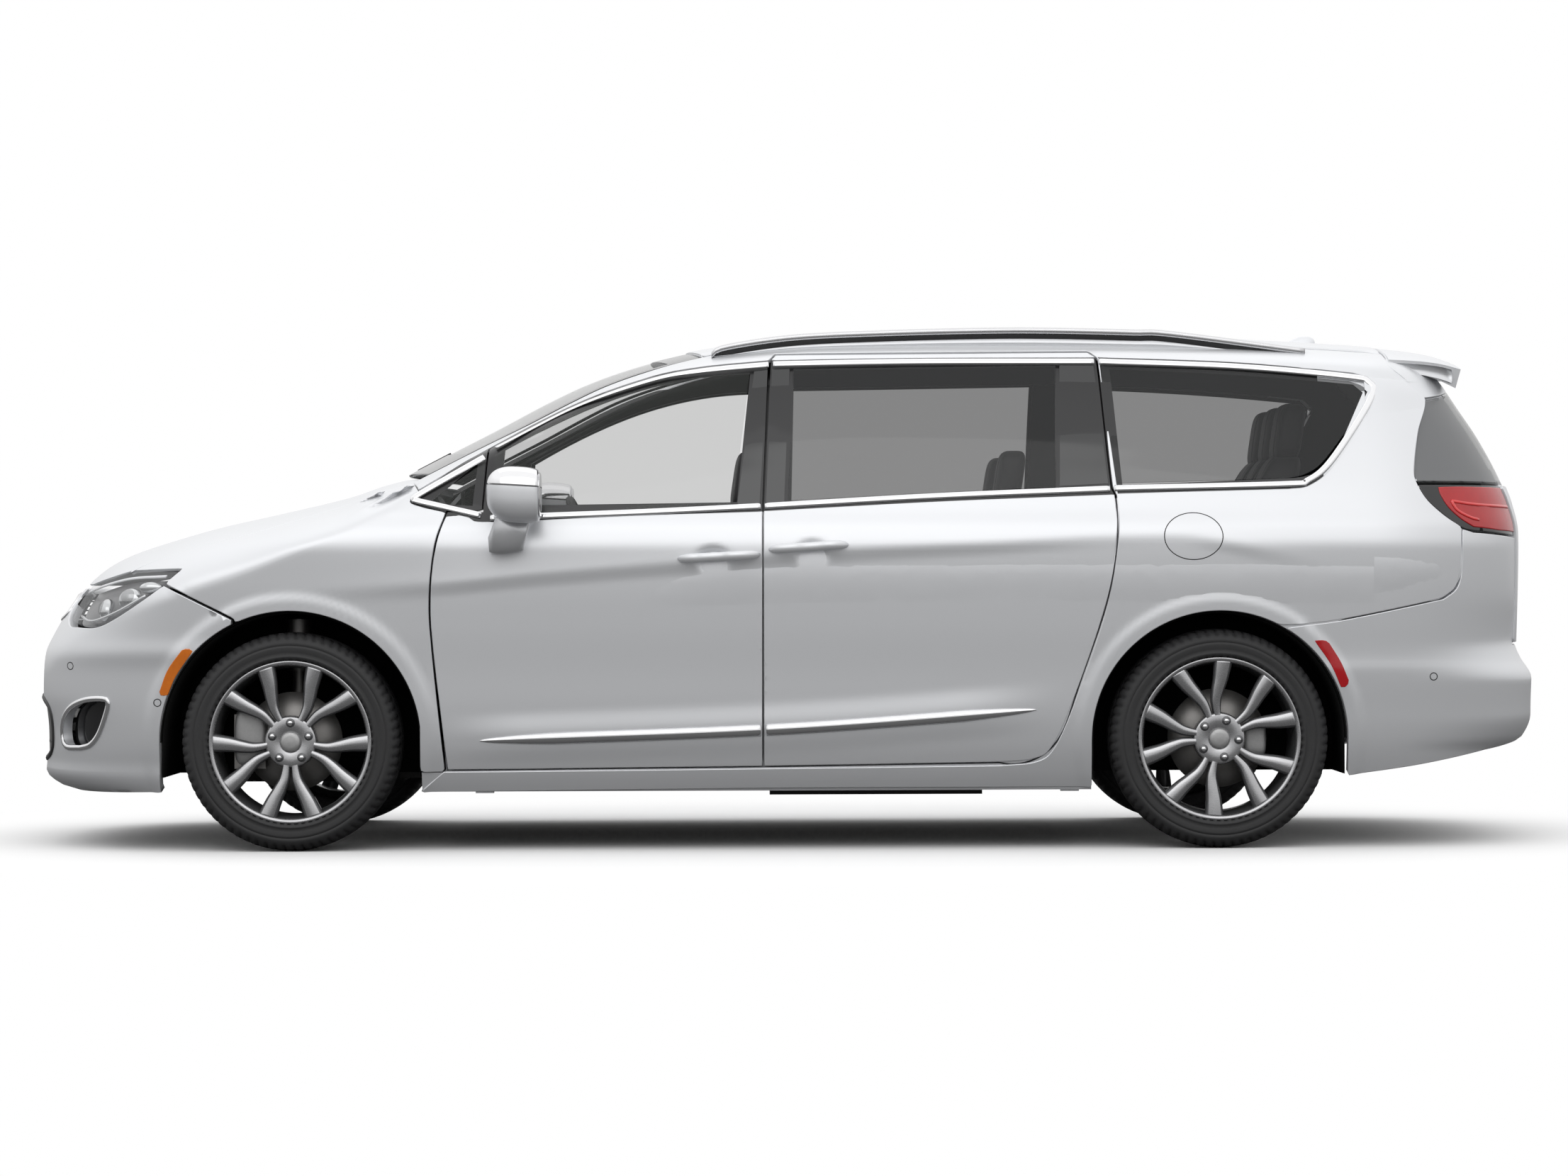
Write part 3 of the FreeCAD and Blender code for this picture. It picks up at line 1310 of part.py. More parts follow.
dashboard_back_share = (firewall_x + seat_gap) / half_length
dashboard_shares = [
    (dashboard_back_share, 0.42), (-0.430, 0.42), (-0.330, 0.50), (-0.315, 0.60), (-0.345, 0.625),
    (dashboard_back_share, 0.640),
]


def dashboard():
    return side_block(dashboard_shares, -tray_half_width, tray_half_width)


wheel_tilt = 25.0
hand_wheel_radius = 185.0
hand_wheel_tube = 15.0
hand_wheel_bar = [30.0, 20.0]
hand_hub_radius = 60.0
hand_hub_depth = 36.0
column_radius = 26.0
column_length = 240.0
hand_wheel_centre = Vector(-0.255 * half_length, -0.38 * body_half_width, 0.575 * roof_height)


def steering_wheel():
    """Ring, hub and cross bar on the column that comes out of the dashboard."""
    axis = Vector(math.cos(math.radians(wheel_tilt)), 0, math.sin(math.radians(wheel_tilt)))
    hub_start = hand_wheel_centre - axis * 2 * hand_wheel_tube
    ring = Part.makeTorus(hand_wheel_radius, hand_wheel_tube, hand_wheel_centre, axis)
    hub = rod(hub_start, axis, hand_hub_radius, hand_hub_depth)
    column = rod(hub_start - axis * (column_length - hand_wheel_tube), axis, column_radius, column_length)
    width, depth = hand_wheel_bar
    bar = Part.makeBox(width, 2 * hand_wheel_radius, depth, Vector(-width / 2, -hand_wheel_radius, -depth / 2))
    bar.rotate(Vector(0, 0, 0), Vector(0, 1, 0), 90 - wheel_tilt)
    bar.translate(hand_wheel_centre)
    return fused([ring, hub, column, bar]).cut(dashboard())


# Seat outlines from the foot of the backrest, x as shares of half the length, z of the roof height
seat_cushion_shares = [(-0.19, 0.13), (-0.20, 0.19), (-0.18, 0.21), (0, 0.18), (0.01, 0.11)]
seat_base_shares = [(-0.14, 0), (-0.14, 0.14), (-0.02, 0.14), (-0.02, 0)]
seat_back_shares = [(-0.02, 0.12), (0.065, 0.50), (0.095, 0.50), (0.035, 0.12)]
seat_head_shares = [(0.066, 0.49), (0.074, 0.61), (0.106, 0.61), (0.098, 0.49)]
head_half_width = 0.13 * body_half_width


def seat(back_x, floor_z, y0, y1):
    """A seat: base, cushion, leaning back and head restraint, as one closed solid."""
    foot = Vector(back_x, 0, floor_z)

    def block(shares):
        places = [foot + at(a, b) for a, b in shares]
        return across([[places[i - 1], places[i]] for i in range(len(places))], y0, y1)

    middle = (y0 + y1) / 2
    room = box(-half_length, half_length, middle - head_half_width, middle + head_half_width, 0, roof_height)
    return fused([block(seat_cushion_shares), block(seat_base_shares), block(seat_back_shares),
                  block(seat_head_shares).common(room)])


front_seat_x = -0.135 * half_length
second_seat_x = 0.215 * half_length
third_seat_x = 0.590 * half_length
floor_top = floor_low + floor_depth
seat_inner = 0.12 * body_half_width
seat_outer = 0.66 * body_half_width


def front_seats():
    return both(seat(front_seat_x, floor_top, -seat_outer, -seat_inner))


def second_row_seats():
    return both(seat(second_seat_x, floor_top, -seat_outer, -seat_inner))


bench_place_width = 0.34 * body_half_width
bench_sink = 0.05 * roof_height


def third_row_bench():
    seats = []
    bench_floor = rear_floor_low + floor_depth
    for k in (-1, 0, 1):
        middle = k * bench_place_width
        seats.append(seat(third_seat_x, bench_floor - bench_sink, middle - bench_place_width / 2,
                          middle + bench_place_width / 2))
    return fused(seats).cut(full_box(0, half_length, body_half_width, 0, bench_floor))


tank_front_x = -0.02 * half_length
tank_rear_x = 0.26 * half_length
tank_outer_y = -0.60 * body_half_width
tank_inner_y = -0.10 * body_half_width
tank_low = 0.095 * roof_height


def fuel_tank():
    return box(tank_front_x, tank_rear_x, tank_outer_y, tank_inner_y, tank_low, floor_low)


pipe_front_x = -0.46 * half_length
pipe_length = 0.84 * half_length
pipe_radius = 0.018 * roof_height
pipe_y = 0.25 * body_half_width
pipe_z = floor_low - 0.022 * roof_height
hanger_x = -0.19 * half_length


def exhaust():
    pipe = rod(Vector(pipe_front_x, pipe_y, pipe_z), Vector(1, 0, 0), pipe_radius, pipe_length)
    hanger = box(hanger_x - pipe_radius, hanger_x + pipe_radius, pipe_y - pipe_radius / 2,
                 pipe_y + pipe_radius / 2, pipe_z, floor_low)
    return fused([pipe, hanger])


rail_half_width = 17.0
rail_y = 0.648 * body_half_width
rail_shares = [
    (-0.094, 0.955), (-0.076, 0.970), (0.013, 0.9886), (0.200, 1.003), (0.357, 1.0051), (0.510, 0.9975),
    (0.620, 0.979), (0.684, 0.9585),
]


def roof_rails():
    """Both rails, each from the roof's edge up to its arched top."""
    runs = [[at(a, b) for a, b in rail_shares]]
    low = [Vector(x, 0, roof_height_at(x, rail_y - rail_half_width) + seat_gap)
           for x in steps(rail_shares[-1][0] * half_length, rail_shares[0][0] * half_length, 7)]
    low[0] = runs[0][-1]
    low[-1] = runs[0][0]
    runs.append(low)
    rail = across(runs, -rail_y - rail_half_width, -rail_y + rail_half_width)
    return both(rail.cut(side_layer(-seat_gap, wall_depth)))


mirror_x = -0.330 * half_length
mirror_y = -1.063 * body_half_width
mirror_z = 0.675 * roof_height
mirror_reach = Vector(0.054 * half_length, 0.075 * body_half_width, 0.050 * roof_height)
mirror_rear_x = mirror_x + 0.026 * half_length
mirror_foot_shares = [(-0.376, 0.588), (-0.340, 0.573), (-0.325, 0.660), (-0.368, 0.660)]
mirror_foot_y = -0.93 * body_half_width


def mirror_housing():
    """Left door mirror: a domed shell with a flat rear, and its foot on the door."""
    scale = FreeCAD.Matrix()
    scale.scale(mirror_reach)
    dome = Part.makeSphere(1).transformGeometry(scale)
    dome.translate(Vector(mirror_x, mirror_y, mirror_z))
    dome = dome.cut(box(mirror_rear_x, half_length, left_edge - overrun, 0, 0, roof_height))
    foot = side_block(mirror_foot_shares, mirror_y, mirror_foot_y)
    return fused([dome, foot]).cut(side_layer(-seat_gap, wall_depth))


def main():
    os.makedirs("parts", exist_ok=True)
    left_rim = rim()
    left_tyre = tyre()
    door = front_door()
    slider = sliding_door()
    side = body_side()
    left_fender = fender()
    left_knuckle = knuckle()
    door_pane = pane(front_glass_outline)
    housing = mirror_housing()
    fixed_panes = [pane(corner_glass_outline), pane(quarter_glass_outline)]
    pieces = {
        "front_door_left": door, "front_door_right": mirrored(door),
        "front_door_glass_left": door_pane, "front_door_glass_right": mirrored(door_pane),
        "mirror_left": housing, "mirror_right": mirrored(housing),
        "sliding_door_left": slider, "sliding_door_right": mirrored(slider),
        "sliding_door_glass": both(pane(sliding_glass_outline)),
        "body_side_left": side, "body_side_right": mirrored(side),
        "fixed_side_glass": Part.makeCompound([s for p in fixed_panes for s in both(p).Solids]),
        "fender_left": left_fender, "fender_right": mirrored(left_fender),
        "knuckle_left": left_knuckle, "knuckle_right": mirrored(left_knuckle),
    }
    for make in (tailgate, tailgate_glass, roof_panel, headliner, windscreen, hood, front_bumper, grille,
                 headlamps, tail_lamps, rear_bumper, floor_pan, engine, front_subframe, rear_axle, wheel_liners, dashboard,
                 steering_wheel, front_seats, second_row_seats, third_row_bench, fuel_tank, exhaust, roof_rails):
        pieces[make.__name__] = make()
    for name, x, side in (("front_left", front_axle_x, -1), ("front_right", front_axle_x, 1),
                          ("rear_left", rear_axle_x, -1), ("rear_right", rear_axle_x, 1)):
        pieces["tyre_" + name] = placed(left_tyre, x, side)
        pieces["rim_" + name] = placed(left_rim, x, side)
    for name, shape in pieces.items():
        save(name, shape)


main()
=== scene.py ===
import math

import bpy
import numpy as np
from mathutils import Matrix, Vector
from mathutils.geometry import delaunay_2d_cdt


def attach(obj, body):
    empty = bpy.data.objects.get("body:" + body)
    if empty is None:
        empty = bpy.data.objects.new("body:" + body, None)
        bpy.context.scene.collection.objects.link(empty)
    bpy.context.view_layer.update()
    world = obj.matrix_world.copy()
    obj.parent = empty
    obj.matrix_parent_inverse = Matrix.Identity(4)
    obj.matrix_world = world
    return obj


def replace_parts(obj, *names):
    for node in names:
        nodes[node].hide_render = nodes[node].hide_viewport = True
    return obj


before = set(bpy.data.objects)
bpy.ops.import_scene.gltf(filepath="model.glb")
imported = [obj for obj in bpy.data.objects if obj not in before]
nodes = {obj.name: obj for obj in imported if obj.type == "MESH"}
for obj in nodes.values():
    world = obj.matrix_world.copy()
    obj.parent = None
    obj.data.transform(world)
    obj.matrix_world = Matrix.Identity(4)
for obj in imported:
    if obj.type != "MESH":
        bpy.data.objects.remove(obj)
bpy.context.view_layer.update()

# Body sizes in metres, as in the CAD source
half_length = 2.586
body_half_width = 1.011
roof_height = 1.751
sill_height = 0.196
tyre_radius = 0.364
half_track = 0.855
front_axle_x = -1.643
rear_axle_x = 1.446
axle_height = tyre_radius
front_arch_radius = tyre_radius + 0.072
rear_arch_radius = tyre_radius + 0.062
skin_lift = 0.0020
hem_radius = 0.0025
hem_depth = 0.012
fender_hem = 0.009
hood_hem = 0.004
bumper_hem = 0.034
arch_lip = 0.0050
arch_lip_band = (0.034, 0.062)
grid_pitch = 0.016
row_share = 0.866
edge_share = 0.55


# Curves of the body form

def smooth(table, x_size, y_size):
    """Monotone cubic through a table of shares of two sizes, straight beyond both ends."""
    xs, ys = (np.array(table, float) * (x_size, y_size)).T
    gaps = np.diff(xs)
    slopes = np.diff(ys) / gaps
    tangents = np.concatenate([slopes[:1], np.zeros(len(xs) - 2), slopes[-1:]])
    same = slopes[:-1] * slopes[1:] > 0
    safe = np.where(slopes == 0, 1, slopes)
    before = 2 * gaps[1:] + gaps[:-1]
    after = gaps[1:] + 2 * gaps[:-1]
    tangents[1:-1] = np.where(same, (before + after) / (before / safe[:-1] + after / safe[1:]), 0)

    def value(x):
        """The curve at x."""
        x = np.asarray(x, float)
        i = np.clip(np.searchsorted(xs, x, side="right") - 1, 0, len(gaps) - 1)
        t = (x - xs[i]) / gaps[i]
        rise = (1 + 2 * t) * (1 - t) ** 2 * ys[i] + t * t * (3 - 2 * t) * ys[i + 1]
        lean = t * (1 - t) ** 2 * tangents[i] + t * t * (t - 1) * tangents[i + 1]
        low = ys[0] + tangents[0] * (x - xs[0])
        high = ys[-1] + tangents[-1] * (x - xs[-1])
        return np.where(x <= xs[0], low, np.where(x >= xs[-1], high, rise + lean * gaps[i]))

    return value


hood_line = smooth([
    (-0.951, 0.506), (-0.928, 0.532), (-0.906, 0.552), (-0.875, 0.572), (-0.823, 0.596), (-0.757, 0.623),
    (-0.671, 0.651), (-0.576, 0.684), (-0.531, 0.706), (-0.464, 0.729), (-0.400, 0.748),
], half_length, roof_height)
cabin_line = smooth([
    (-0.580, 0.670), (-0.518, 0.719), (-0.462, 0.762), (-0.392, 0.815), (-0.323, 0.869), (-0.271, 0.905),
    (-0.219, 0.933), (-0.166, 0.955), (-0.098, 0.975), (0.039, 0.994), (0.232, 1.000), (0.464, 0.997),
    (0.725, 0.979), (0.796, 0.971), (0.860, 0.958), (0.892, 0.943),
], half_length, roof_height)
nose_line = smooth([
    (0.109, -0.944), (0.123, -0.978), (0.146, -0.9946), (0.224, -0.9953), (0.294, -0.9992), (0.342, -0.9985),
    (0.383, -0.994), (0.431, -0.981), (0.474, -0.965), (0.506, -0.951),
], roof_height, half_length)
tail_line = smooth([
    (0.120, 0.965), (0.365, 0.976), (0.600, 0.9795), (0.657, 0.9725), (0.705, 0.960), (0.787, 0.9315),
    (0.840, 0.908), (0.891, 0.885), (0.942, 0.857), (1.005, 0.820),
], roof_height, half_length)
bumper_line = smooth([
    (0.120, 0.958), (0.184, 0.969), (0.202, 0.988), (0.245, 1.000), (0.315, 1.000), (0.352, 0.986),
    (0.390, 0.977), (0.480, 0.980), (0.620, 0.981),
], roof_height, half_length)
width_line = smooth([
    (0.105, 0.925), (0.143, 0.945), (0.200, 0.964), (0.257, 0.974), (0.343, 0.982), (0.428, 0.991),
    (0.514, 0.998), (0.571, 1.000), (0.605, 0.989), (0.645, 0.961), (0.685, 0.935), (0.742, 0.895),
    (0.800, 0.854), (0.857, 0.811), (0.914, 0.767), (1.005, 0.692),
], roof_height, body_half_width)
hood_drop = smooth([
    (-0.951, 0.148), (-0.812, 0.137), (-0.713, 0.123), (-0.597, 0.094), (-0.518, 0.080), (-0.400, 0.072),
], half_length, roof_height)
cabin_drop = smooth([
    (-0.580, 0.014), (-0.445, 0.018), (-0.348, 0.032), (-0.271, 0.043), (-0.166, 0.052), (0.000, 0.063),
    (0.193, 0.069), (0.890, 0.066),
], half_length, roof_height)
screen_bow = smooth([
    (-0.580, 0.072), (-0.445, 0.070), (-0.348, 0.064), (-0.271, 0.054), (-0.166, 0.046), (-0.039, 0.027),
    (0.116, 0.0001), (0.900, 0.0),
], half_length, half_length)

belt_height = 0.645 * roof_height
widest_x = 0.116 * half_length
nose_round_x = -0.754 * half_length
tail_round_x = 0.735 * half_length
nose_power = 2.6
tail_power = 3.2
shoulder_power = 2.3


def no_bow(x):
    """Zero for every x: the hood's sections stand upright."""
    return np.zeros_like(np.asarray(x, float))


def plain_width(x, z):
    """Half width of the side: the width at that height, less a barrel and, above the belt, a taper along x."""
    share = (x - widest_x) / half_length
    width = width_line(z) - 0.032 * share ** 2 * body_half_width
    taper = np.where(share < 0, 0.40, 0.10)
    return width - taper * share ** 2 * np.maximum(z - belt_height, 0)


def rounding(share, power):
    """Height of a superellipse at a share of its length."""
    return (1 - np.clip(share, 0, 1) ** power) ** (1 / power)


def end_rounding(x, z, tail):
    """Share of the half width left by the superellipse that rounds the nose and the tail in plan."""
    nose = rounding((nose_round_x - x) / (nose_round_x - nose_line(z)), nose_power)
    rear = rounding((x - tail_round_x) / (tail(z) - tail_round_x), tail_power)
    return np.where(x < nose_round_x, nose, np.where(x > tail_round_x, rear, 1.0))


# Surfaces of the body: each turns two flat coordinates in metres into points, and the side view into them

def hoop_surface(line, drop, bow):
    """Cross sections swept along x: a superellipse shoulder over the plain side, a = x of the section's crown,
    b = length along the section from the middle, below zero on the left."""
    turns = np.linspace(0, 1.3, 600)

    def hoop(s, v, side):
        """Places on the section with its crown at s; v up to 0.5 is the shoulder, beyond it the side."""
        shoulder = line(s) - drop(s)
        angle = np.pi * np.minimum(v, 0.5)
        reach = np.sin(angle) ** (2 / shoulder_power)
        high = shoulder + drop(s) * np.maximum(np.cos(angle), 0) ** (2 / shoulder_power)
        z = np.where(v <= 0.5, high, shoulder - (v - 0.5) * 2 * (shoulder - sill_height))
        x = s + bow(s) * reach ** 2
        y = side * reach * plain_width(x, z) * end_rounding(x, z, tail_line)
        return np.stack([x, y, z], axis=-1)

    mid = 0.0 if line is cabin_line else -1.7
    run = hoop(np.full(600, mid), turns, 1.0)
    lengths = np.concatenate([[0], np.cumsum(np.linalg.norm(np.diff(run, axis=0), axis=1))])

    def points(a, b):
        return hoop(a, np.interp(np.abs(b), lengths, turns), np.where(b < 0, -1.0, 1.0))

    def from_side(x, z):
        """Flat coordinates of side view places on the left, by repeated halving steps."""
        s = np.array(x, float)
        for _ in range(40):
            share = np.clip((z - line(s) + drop(s)) / drop(s), 0, 1)
            reach = (1 - share ** shoulder_power) ** (1 / shoulder_power)
            s = 0.5 * s + 0.5 * (x - bow(s) * reach ** 2)
        share = (z - line(s) + drop(s)) / drop(s)
        upper = np.arccos(np.clip(share, 0, 1) ** (shoulder_power / 2)) / np.pi
        shoulder = line(s) - drop(s)
        v = np.where(share > 0, upper, 0.5 + (shoulder - z) / (2 * (shoulder - sill_height)))
        return s, -np.interp(v, turns, lengths)

    def from_hoop(s, v):
        return s, -np.interp(v, turns, lengths)

    return points, from_side, from_hoop


def end_surface(line, power, round_x, crown, drop, tip):
    """Rows round the nose or tail: in plan a superellipse from the tip to the plain side, straight beyond it,
    a = length round the corner from the middle, below zero on the left, b = height."""
    turns = np.linspace(0, 1.2, 600)
    way = 1.0 if tip > round_x else -1.0

    def row(v, z, side):
        """Places at height z; v up to 0.5 is the corner in plan, beyond it the side."""
        angle = np.pi * np.minimum(v, 0.5)
        x = round_x + (line(z) - round_x) * np.cos(angle).clip(0, 1) ** (2 / power)
        x = np.where(v > 0.5, round_x - way * (v - 0.5) * 1.6, x)
        reach = np.where(v > 0.5, 1.0, np.sin(angle) ** (2 / power))
        top = rounding((z - crown(x) + drop(x)) / drop(x), shoulder_power)
        return np.stack([x, side * plain_width(x, z) * reach * top, z + 0 * x], axis=-1)

    run = row(turns, np.full(600, 0.35 * roof_height), 1.0)
    lengths = np.concatenate([[0], np.cumsum(np.linalg.norm(np.diff(run, axis=0), axis=1))])

    def points(a, b):
        return row(np.interp(np.abs(a), lengths, turns), b, np.where(a < 0, -1.0, 1.0))

    def from_side(x, z):
        """Flat coordinates of side view places on the left."""
        share = np.clip((x - round_x) / (line(z) - round_x), -1, 1)
        upper = np.arccos(np.clip(share, 0, 1) ** (power / 2)) / np.pi
        v = np.where(share > 0, upper, 0.5 + (round_x - x) * way / 1.6)
        return -np.interp(v, turns, lengths), z

    return points, from_side, None


cabin = hoop_surface(cabin_line, cabin_drop, screen_bow)
bonnet = hoop_surface(hood_line, hood_drop, no_bow)
nose = end_surface(nose_line, nose_power, nose_round_x, hood_line, hood_drop, -half_length)
tail = end_surface(tail_line, tail_power, tail_round_x, cabin_line, cabin_drop, half_length)
rear_end = end_surface(bumper_line, tail_power, tail_round_x, cabin_line, cabin_drop, half_length)


def step(x, low, high):
    """Smooth step from zero at low to one at high."""
    t = np.clip((x - low) / (high - low), 0, 1)
    return t * t * (3 - 2 * t)


# Pressed forms: their lines in side view, in metres

crease_line = smooth([
    (-2.30, 0.840), (-1.165, 0.892), (-0.813, 0.924), (-0.352, 0.959), (0.216, 1.002), (0.660, 1.024),
    (1.102, 1.048), (1.300, 1.050), (1.650, 0.985), (2.200, 0.900),
], 1, 1)
moulding_line = smooth([(-1.400, 0.350), (-1.012, 0.367), (-0.080, 0.400), (0.835, 0.463), (1.300, 0.500)], 1, 1)
shoulder_line = smooth([(-2.30, 0.930), (-1.961, 0.987), (-1.560, 1.025), (-1.135, 1.052), (-0.60, 1.070)], 1, 1)
handle_bowls = [(-0.235, 0.966), (0.094, 0.986)]


def arch_lips(x, z, *arches):
    """Height of the flat lip round wheel arches, each an axle place and a radius."""
    return sum(arch_lip * (1 - step(np.hypot(x - axle_x, z - axle_height) - radius, *arch_lip_band))
               for axle_x, radius in arches)


def relief(points):
    """Height of the pressed forms over the plain side: a crease with a hollow under it, a swage along the moulding,
    a soft shoulder on the fender, a flat lip round each wheel arch and a bowl behind each handle. Each is a bell or
    a smooth step."""
    x, z = points[..., 0], points[..., 2]
    gap = z - crease_line(x)
    ends = step(x, -1.75, -0.95) * (1 - step(x, 1.25, 1.85))
    crease = ends * np.where(gap > 0, np.exp(-np.maximum(gap, 0) / 0.075), 1 - step(-gap, 0.0, 0.050))
    gap = z - moulding_line(x)
    ends = step(x, -1.22, -0.85) * (1 - step(x, 0.55, 0.95))
    swage = ends * np.where(gap > 0, 1 - step(gap, 0.010, 0.095), 1 - 0.55 * step(-gap, 0.020, 0.090))
    gap = z - shoulder_line(x)
    ends = step(x, -2.25, -1.85) * (1 - step(x, -1.25, -1.05))
    shoulder = ends * np.where(gap > 0, 1 - step(gap, 0.0, 0.060), np.exp(-np.maximum(-gap, 0) / 0.090))
    lips = arch_lips(x, z, (front_axle_x, front_arch_radius), (rear_axle_x, rear_arch_radius))
    bowls = sum(np.exp(-(((x - a) / 0.050) ** 2 + ((z - b) / 0.034) ** 2) ** 2) for a, b in handle_bowls)
    return 0.0055 * crease + 0.0080 * swage + 0.0030 * shoulder + lips - 0.014 * bowls


def flat(points):
    """No pressed form."""
    return 0 * points[..., 0]


def skin_points(surface, a, b, lift, pressed):
    """Points and outward normals of a surface, lifted along the normal by lift and the pressed forms."""
    points = surface[0](a, b)
    small = 0.002
    across = surface[0](a + small, b) - surface[0](a - small, b)
    upward = surface[0](a, b + small) - surface[0](a, b - small)
    normal = np.cross(across, upward)
    normal /= np.maximum(np.linalg.norm(normal, axis=-1, keepdims=True), 1e-12)
    centre = points * (0.72, 0, 0) + (0, 0, 0.72)
    normal *= np.sign((normal * (points - centre)).sum(axis=-1, keepdims=True))
    height = lift + pressed(points)
    return points + normal * np.asarray(height)[..., None], normal


# Outlines

def curve(run, pitch=0.012):
    """Even points on the Catmull-Rom curve through a run of places, straight for a run of two."""
    run = np.array(run, float)
    if len(run) > 2:
        padded = np.concatenate([[2 * run[0] - run[1]], run, [2 * run[-1] - run[-2]]])
        t = np.linspace(0, 1, 24)[:, None, None]
        p0, p1, p2, p3 = (padded[k:len(padded) - 3 + k] for k in range(4))
        dense = 0.5 * (2 * p1 + (p2 - p0) * t + (2 * p0 - 5 * p1 + 4 * p2 - p3) * t ** 2
                       + (3 * p1 - p0 - 3 * p2 + p3) * t ** 3)
        run = dense.transpose(1, 0, 2).reshape(-1, run.shape[1])
    return even(run, pitch)


def even(run, pitch):
    """Places at even steps along an open line."""
    lengths = np.concatenate([[0], np.cumsum(np.linalg.norm(np.diff(run, axis=0), axis=1))])
    goals = np.linspace(0, lengths[-1], max(int(lengths[-1] / pitch), 1) + 1)
    return np.stack([np.interp(goals, lengths, run[:, k]) for k in range(run.shape[1])], axis=1)


def loop_of(runs, x_size=half_length, z_size=roof_height):
    """Closed side view outline in metres from runs of shares."""
    return np.concatenate([curve(np.array(run) * (x_size, z_size))[:-1] for run in runs])


def metres(runs):
    """Closed side view outline from runs in metres."""
    return loop_of(runs, 1, 1)


def closed(*runs):
    """Runs of a closed outline, each given without the place at which the one before ends."""
    return [[before[-1]] + run for before, run in zip((runs[-1],) + runs, runs)]


def signed_area(loop):
    """Area of a closed outline, above zero when it runs anticlockwise."""
    after = np.roll(loop, -1, axis=0)
    return 0.5 * np.sum(loop[:, 0] * after[:, 1] - after[:, 0] * loop[:, 1])


def grown(loop, distance):
    """The outline moved outwards by a distance, each point along its bisector."""
    before = loop - np.roll(loop, 1, axis=0)
    after = np.roll(loop, -1, axis=0) - loop
    before /= np.maximum(np.linalg.norm(before, axis=1, keepdims=True), 1e-9)
    after /= np.maximum(np.linalg.norm(after, axis=1, keepdims=True), 1e-9)
    out = np.stack([before[:, 1] + after[:, 1], -before[:, 0] - after[:, 0]], axis=1)
    out /= np.maximum(np.linalg.norm(out, axis=1, keepdims=True), 1e-9)
    lean = np.maximum(out[:, 0] * before[:, 1] - out[:, 1] * before[:, 0], 0.5)
    way = 1 if signed_area(loop) > 0 else -1
    return loop + way * distance * out / lean[:, None]


def inside(points, loop):
    """Which points lie in a closed outline, by counting crossings of a ray."""
    result = np.zeros(len(points), bool)
    first, second = loop, np.roll(loop, -1, axis=0)
    for chunk in range(0, len(points), 4000):
        p = points[chunk:chunk + 4000]
        crosses = (first[None, :, 1] > p[:, None, 1]) != (second[None, :, 1] > p[:, None, 1])
        rise = np.where(second[:, 1] == first[:, 1], 1e-12, second[:, 1] - first[:, 1])
        at = first[None, :, 0] + (p[:, None, 1] - first[None, :, 1]) / rise[None] * (second - first)[None, :, 0]
        result[chunk:chunk + 4000] = (crosses & (p[:, None, 0] < at)).sum(axis=1) % 2 == 1
    return result


def away_from(points, loops, distance):
    """Which points lie further than a distance from every point of some outlines."""
    keep = np.ones(len(points), bool)
    edge = np.concatenate(loops)
    for chunk in range(0, len(points), 2000):
        p = points[chunk:chunk + 2000]
        keep[chunk:chunk + 2000] = ((p[:, None] - edge[None]) ** 2).sum(axis=2).min(axis=1) > distance ** 2
    return keep


# Meshes

def join(parts):
    """One set of points and faces from several."""
    points, faces, shift = [], [], 0
    for p, f in parts:
        points.append(p)
        faces += [(np.asarray(block) + shift) for block in f]
        shift += len(p)
    return np.concatenate(points), faces


def make(name, parts, material, body, slot, mirror=False, marks=None):
    """Object from points and blocks of faces; mirror gives the right-hand copy. marks picks a material a block."""
    points, blocks = join(parts)
    if mirror:
        points = points * (1, -1, 1)
        blocks = [block[:, ::-1] for block in blocks]
    mesh = bpy.data.meshes.new(name)
    sizes = np.concatenate([np.full(len(block), block.shape[1]) for block in blocks])
    corners = np.concatenate([block.ravel() for block in blocks])
    mesh.vertices.add(len(points))
    mesh.vertices.foreach_set("co", points.astype(np.float32).ravel())
    mesh.loops.add(len(corners))
    mesh.loops.foreach_set("vertex_index", corners.astype(np.int32))
    mesh.polygons.add(len(sizes))
    mesh.polygons.foreach_set("loop_start", np.concatenate([[0], np.cumsum(sizes)[:-1]]).astype(np.int32))
    mesh.polygons.foreach_set("loop_total", sizes.astype(np.int32))
    materials = material if isinstance(material, list) else [material]
    for one in materials:
        mesh.materials.append(one)
    if marks is not None:
        index = np.concatenate([np.full(len(block), mark) for block, mark in zip(blocks, marks)])
        mesh.polygons.foreach_set("material_index", index.astype(np.int32))
    mesh.update(calc_edges=True)
    mesh.validate()
    mesh.shade_smooth()
    piece = bpy.data.objects.new(name, mesh)
    bpy.context.scene.collection.objects.link(piece)
    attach(piece, body)
    return piece


def pairs(*rows):
    """Left pieces, then their mirror images, from rows of name, parts, material, body, slot and, if there is one, the
    CAD node that the piece stands for. Body door or steer is each side's own; a node that ends in an underscore takes
    the side."""
    for side, flip in (("left", False), ("right", True)):
        for name, parts, material, body, slot, *stood in rows:
            rides = side + "_" + body if body in ("door", "steer") else body
            piece = make(name + "_" + side, parts, material, rides, slot, mirror=flip)
            for node in filter(None, stood):
                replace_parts(piece, node + side if node.endswith("_") else node)


def pair(*row):
    """One left piece and its mirror image, from one row."""
    pairs(row)


def grid_faces(rows, columns, closed_rows=False, closed_columns=False):
    """Quads of a grid of rows x columns points, wrapped round where closed."""
    i = np.arange(rows if closed_rows else rows - 1)
    j = np.arange(columns if closed_columns else columns - 1)
    a, b = np.meshgrid(i, j, indexing="ij")
    c, d = (a + 1) % rows, (b + 1) % columns
    return np.stack([a * columns + b, a * columns + d, c * columns + d, c * columns + b], axis=-1).reshape(-1, 4)


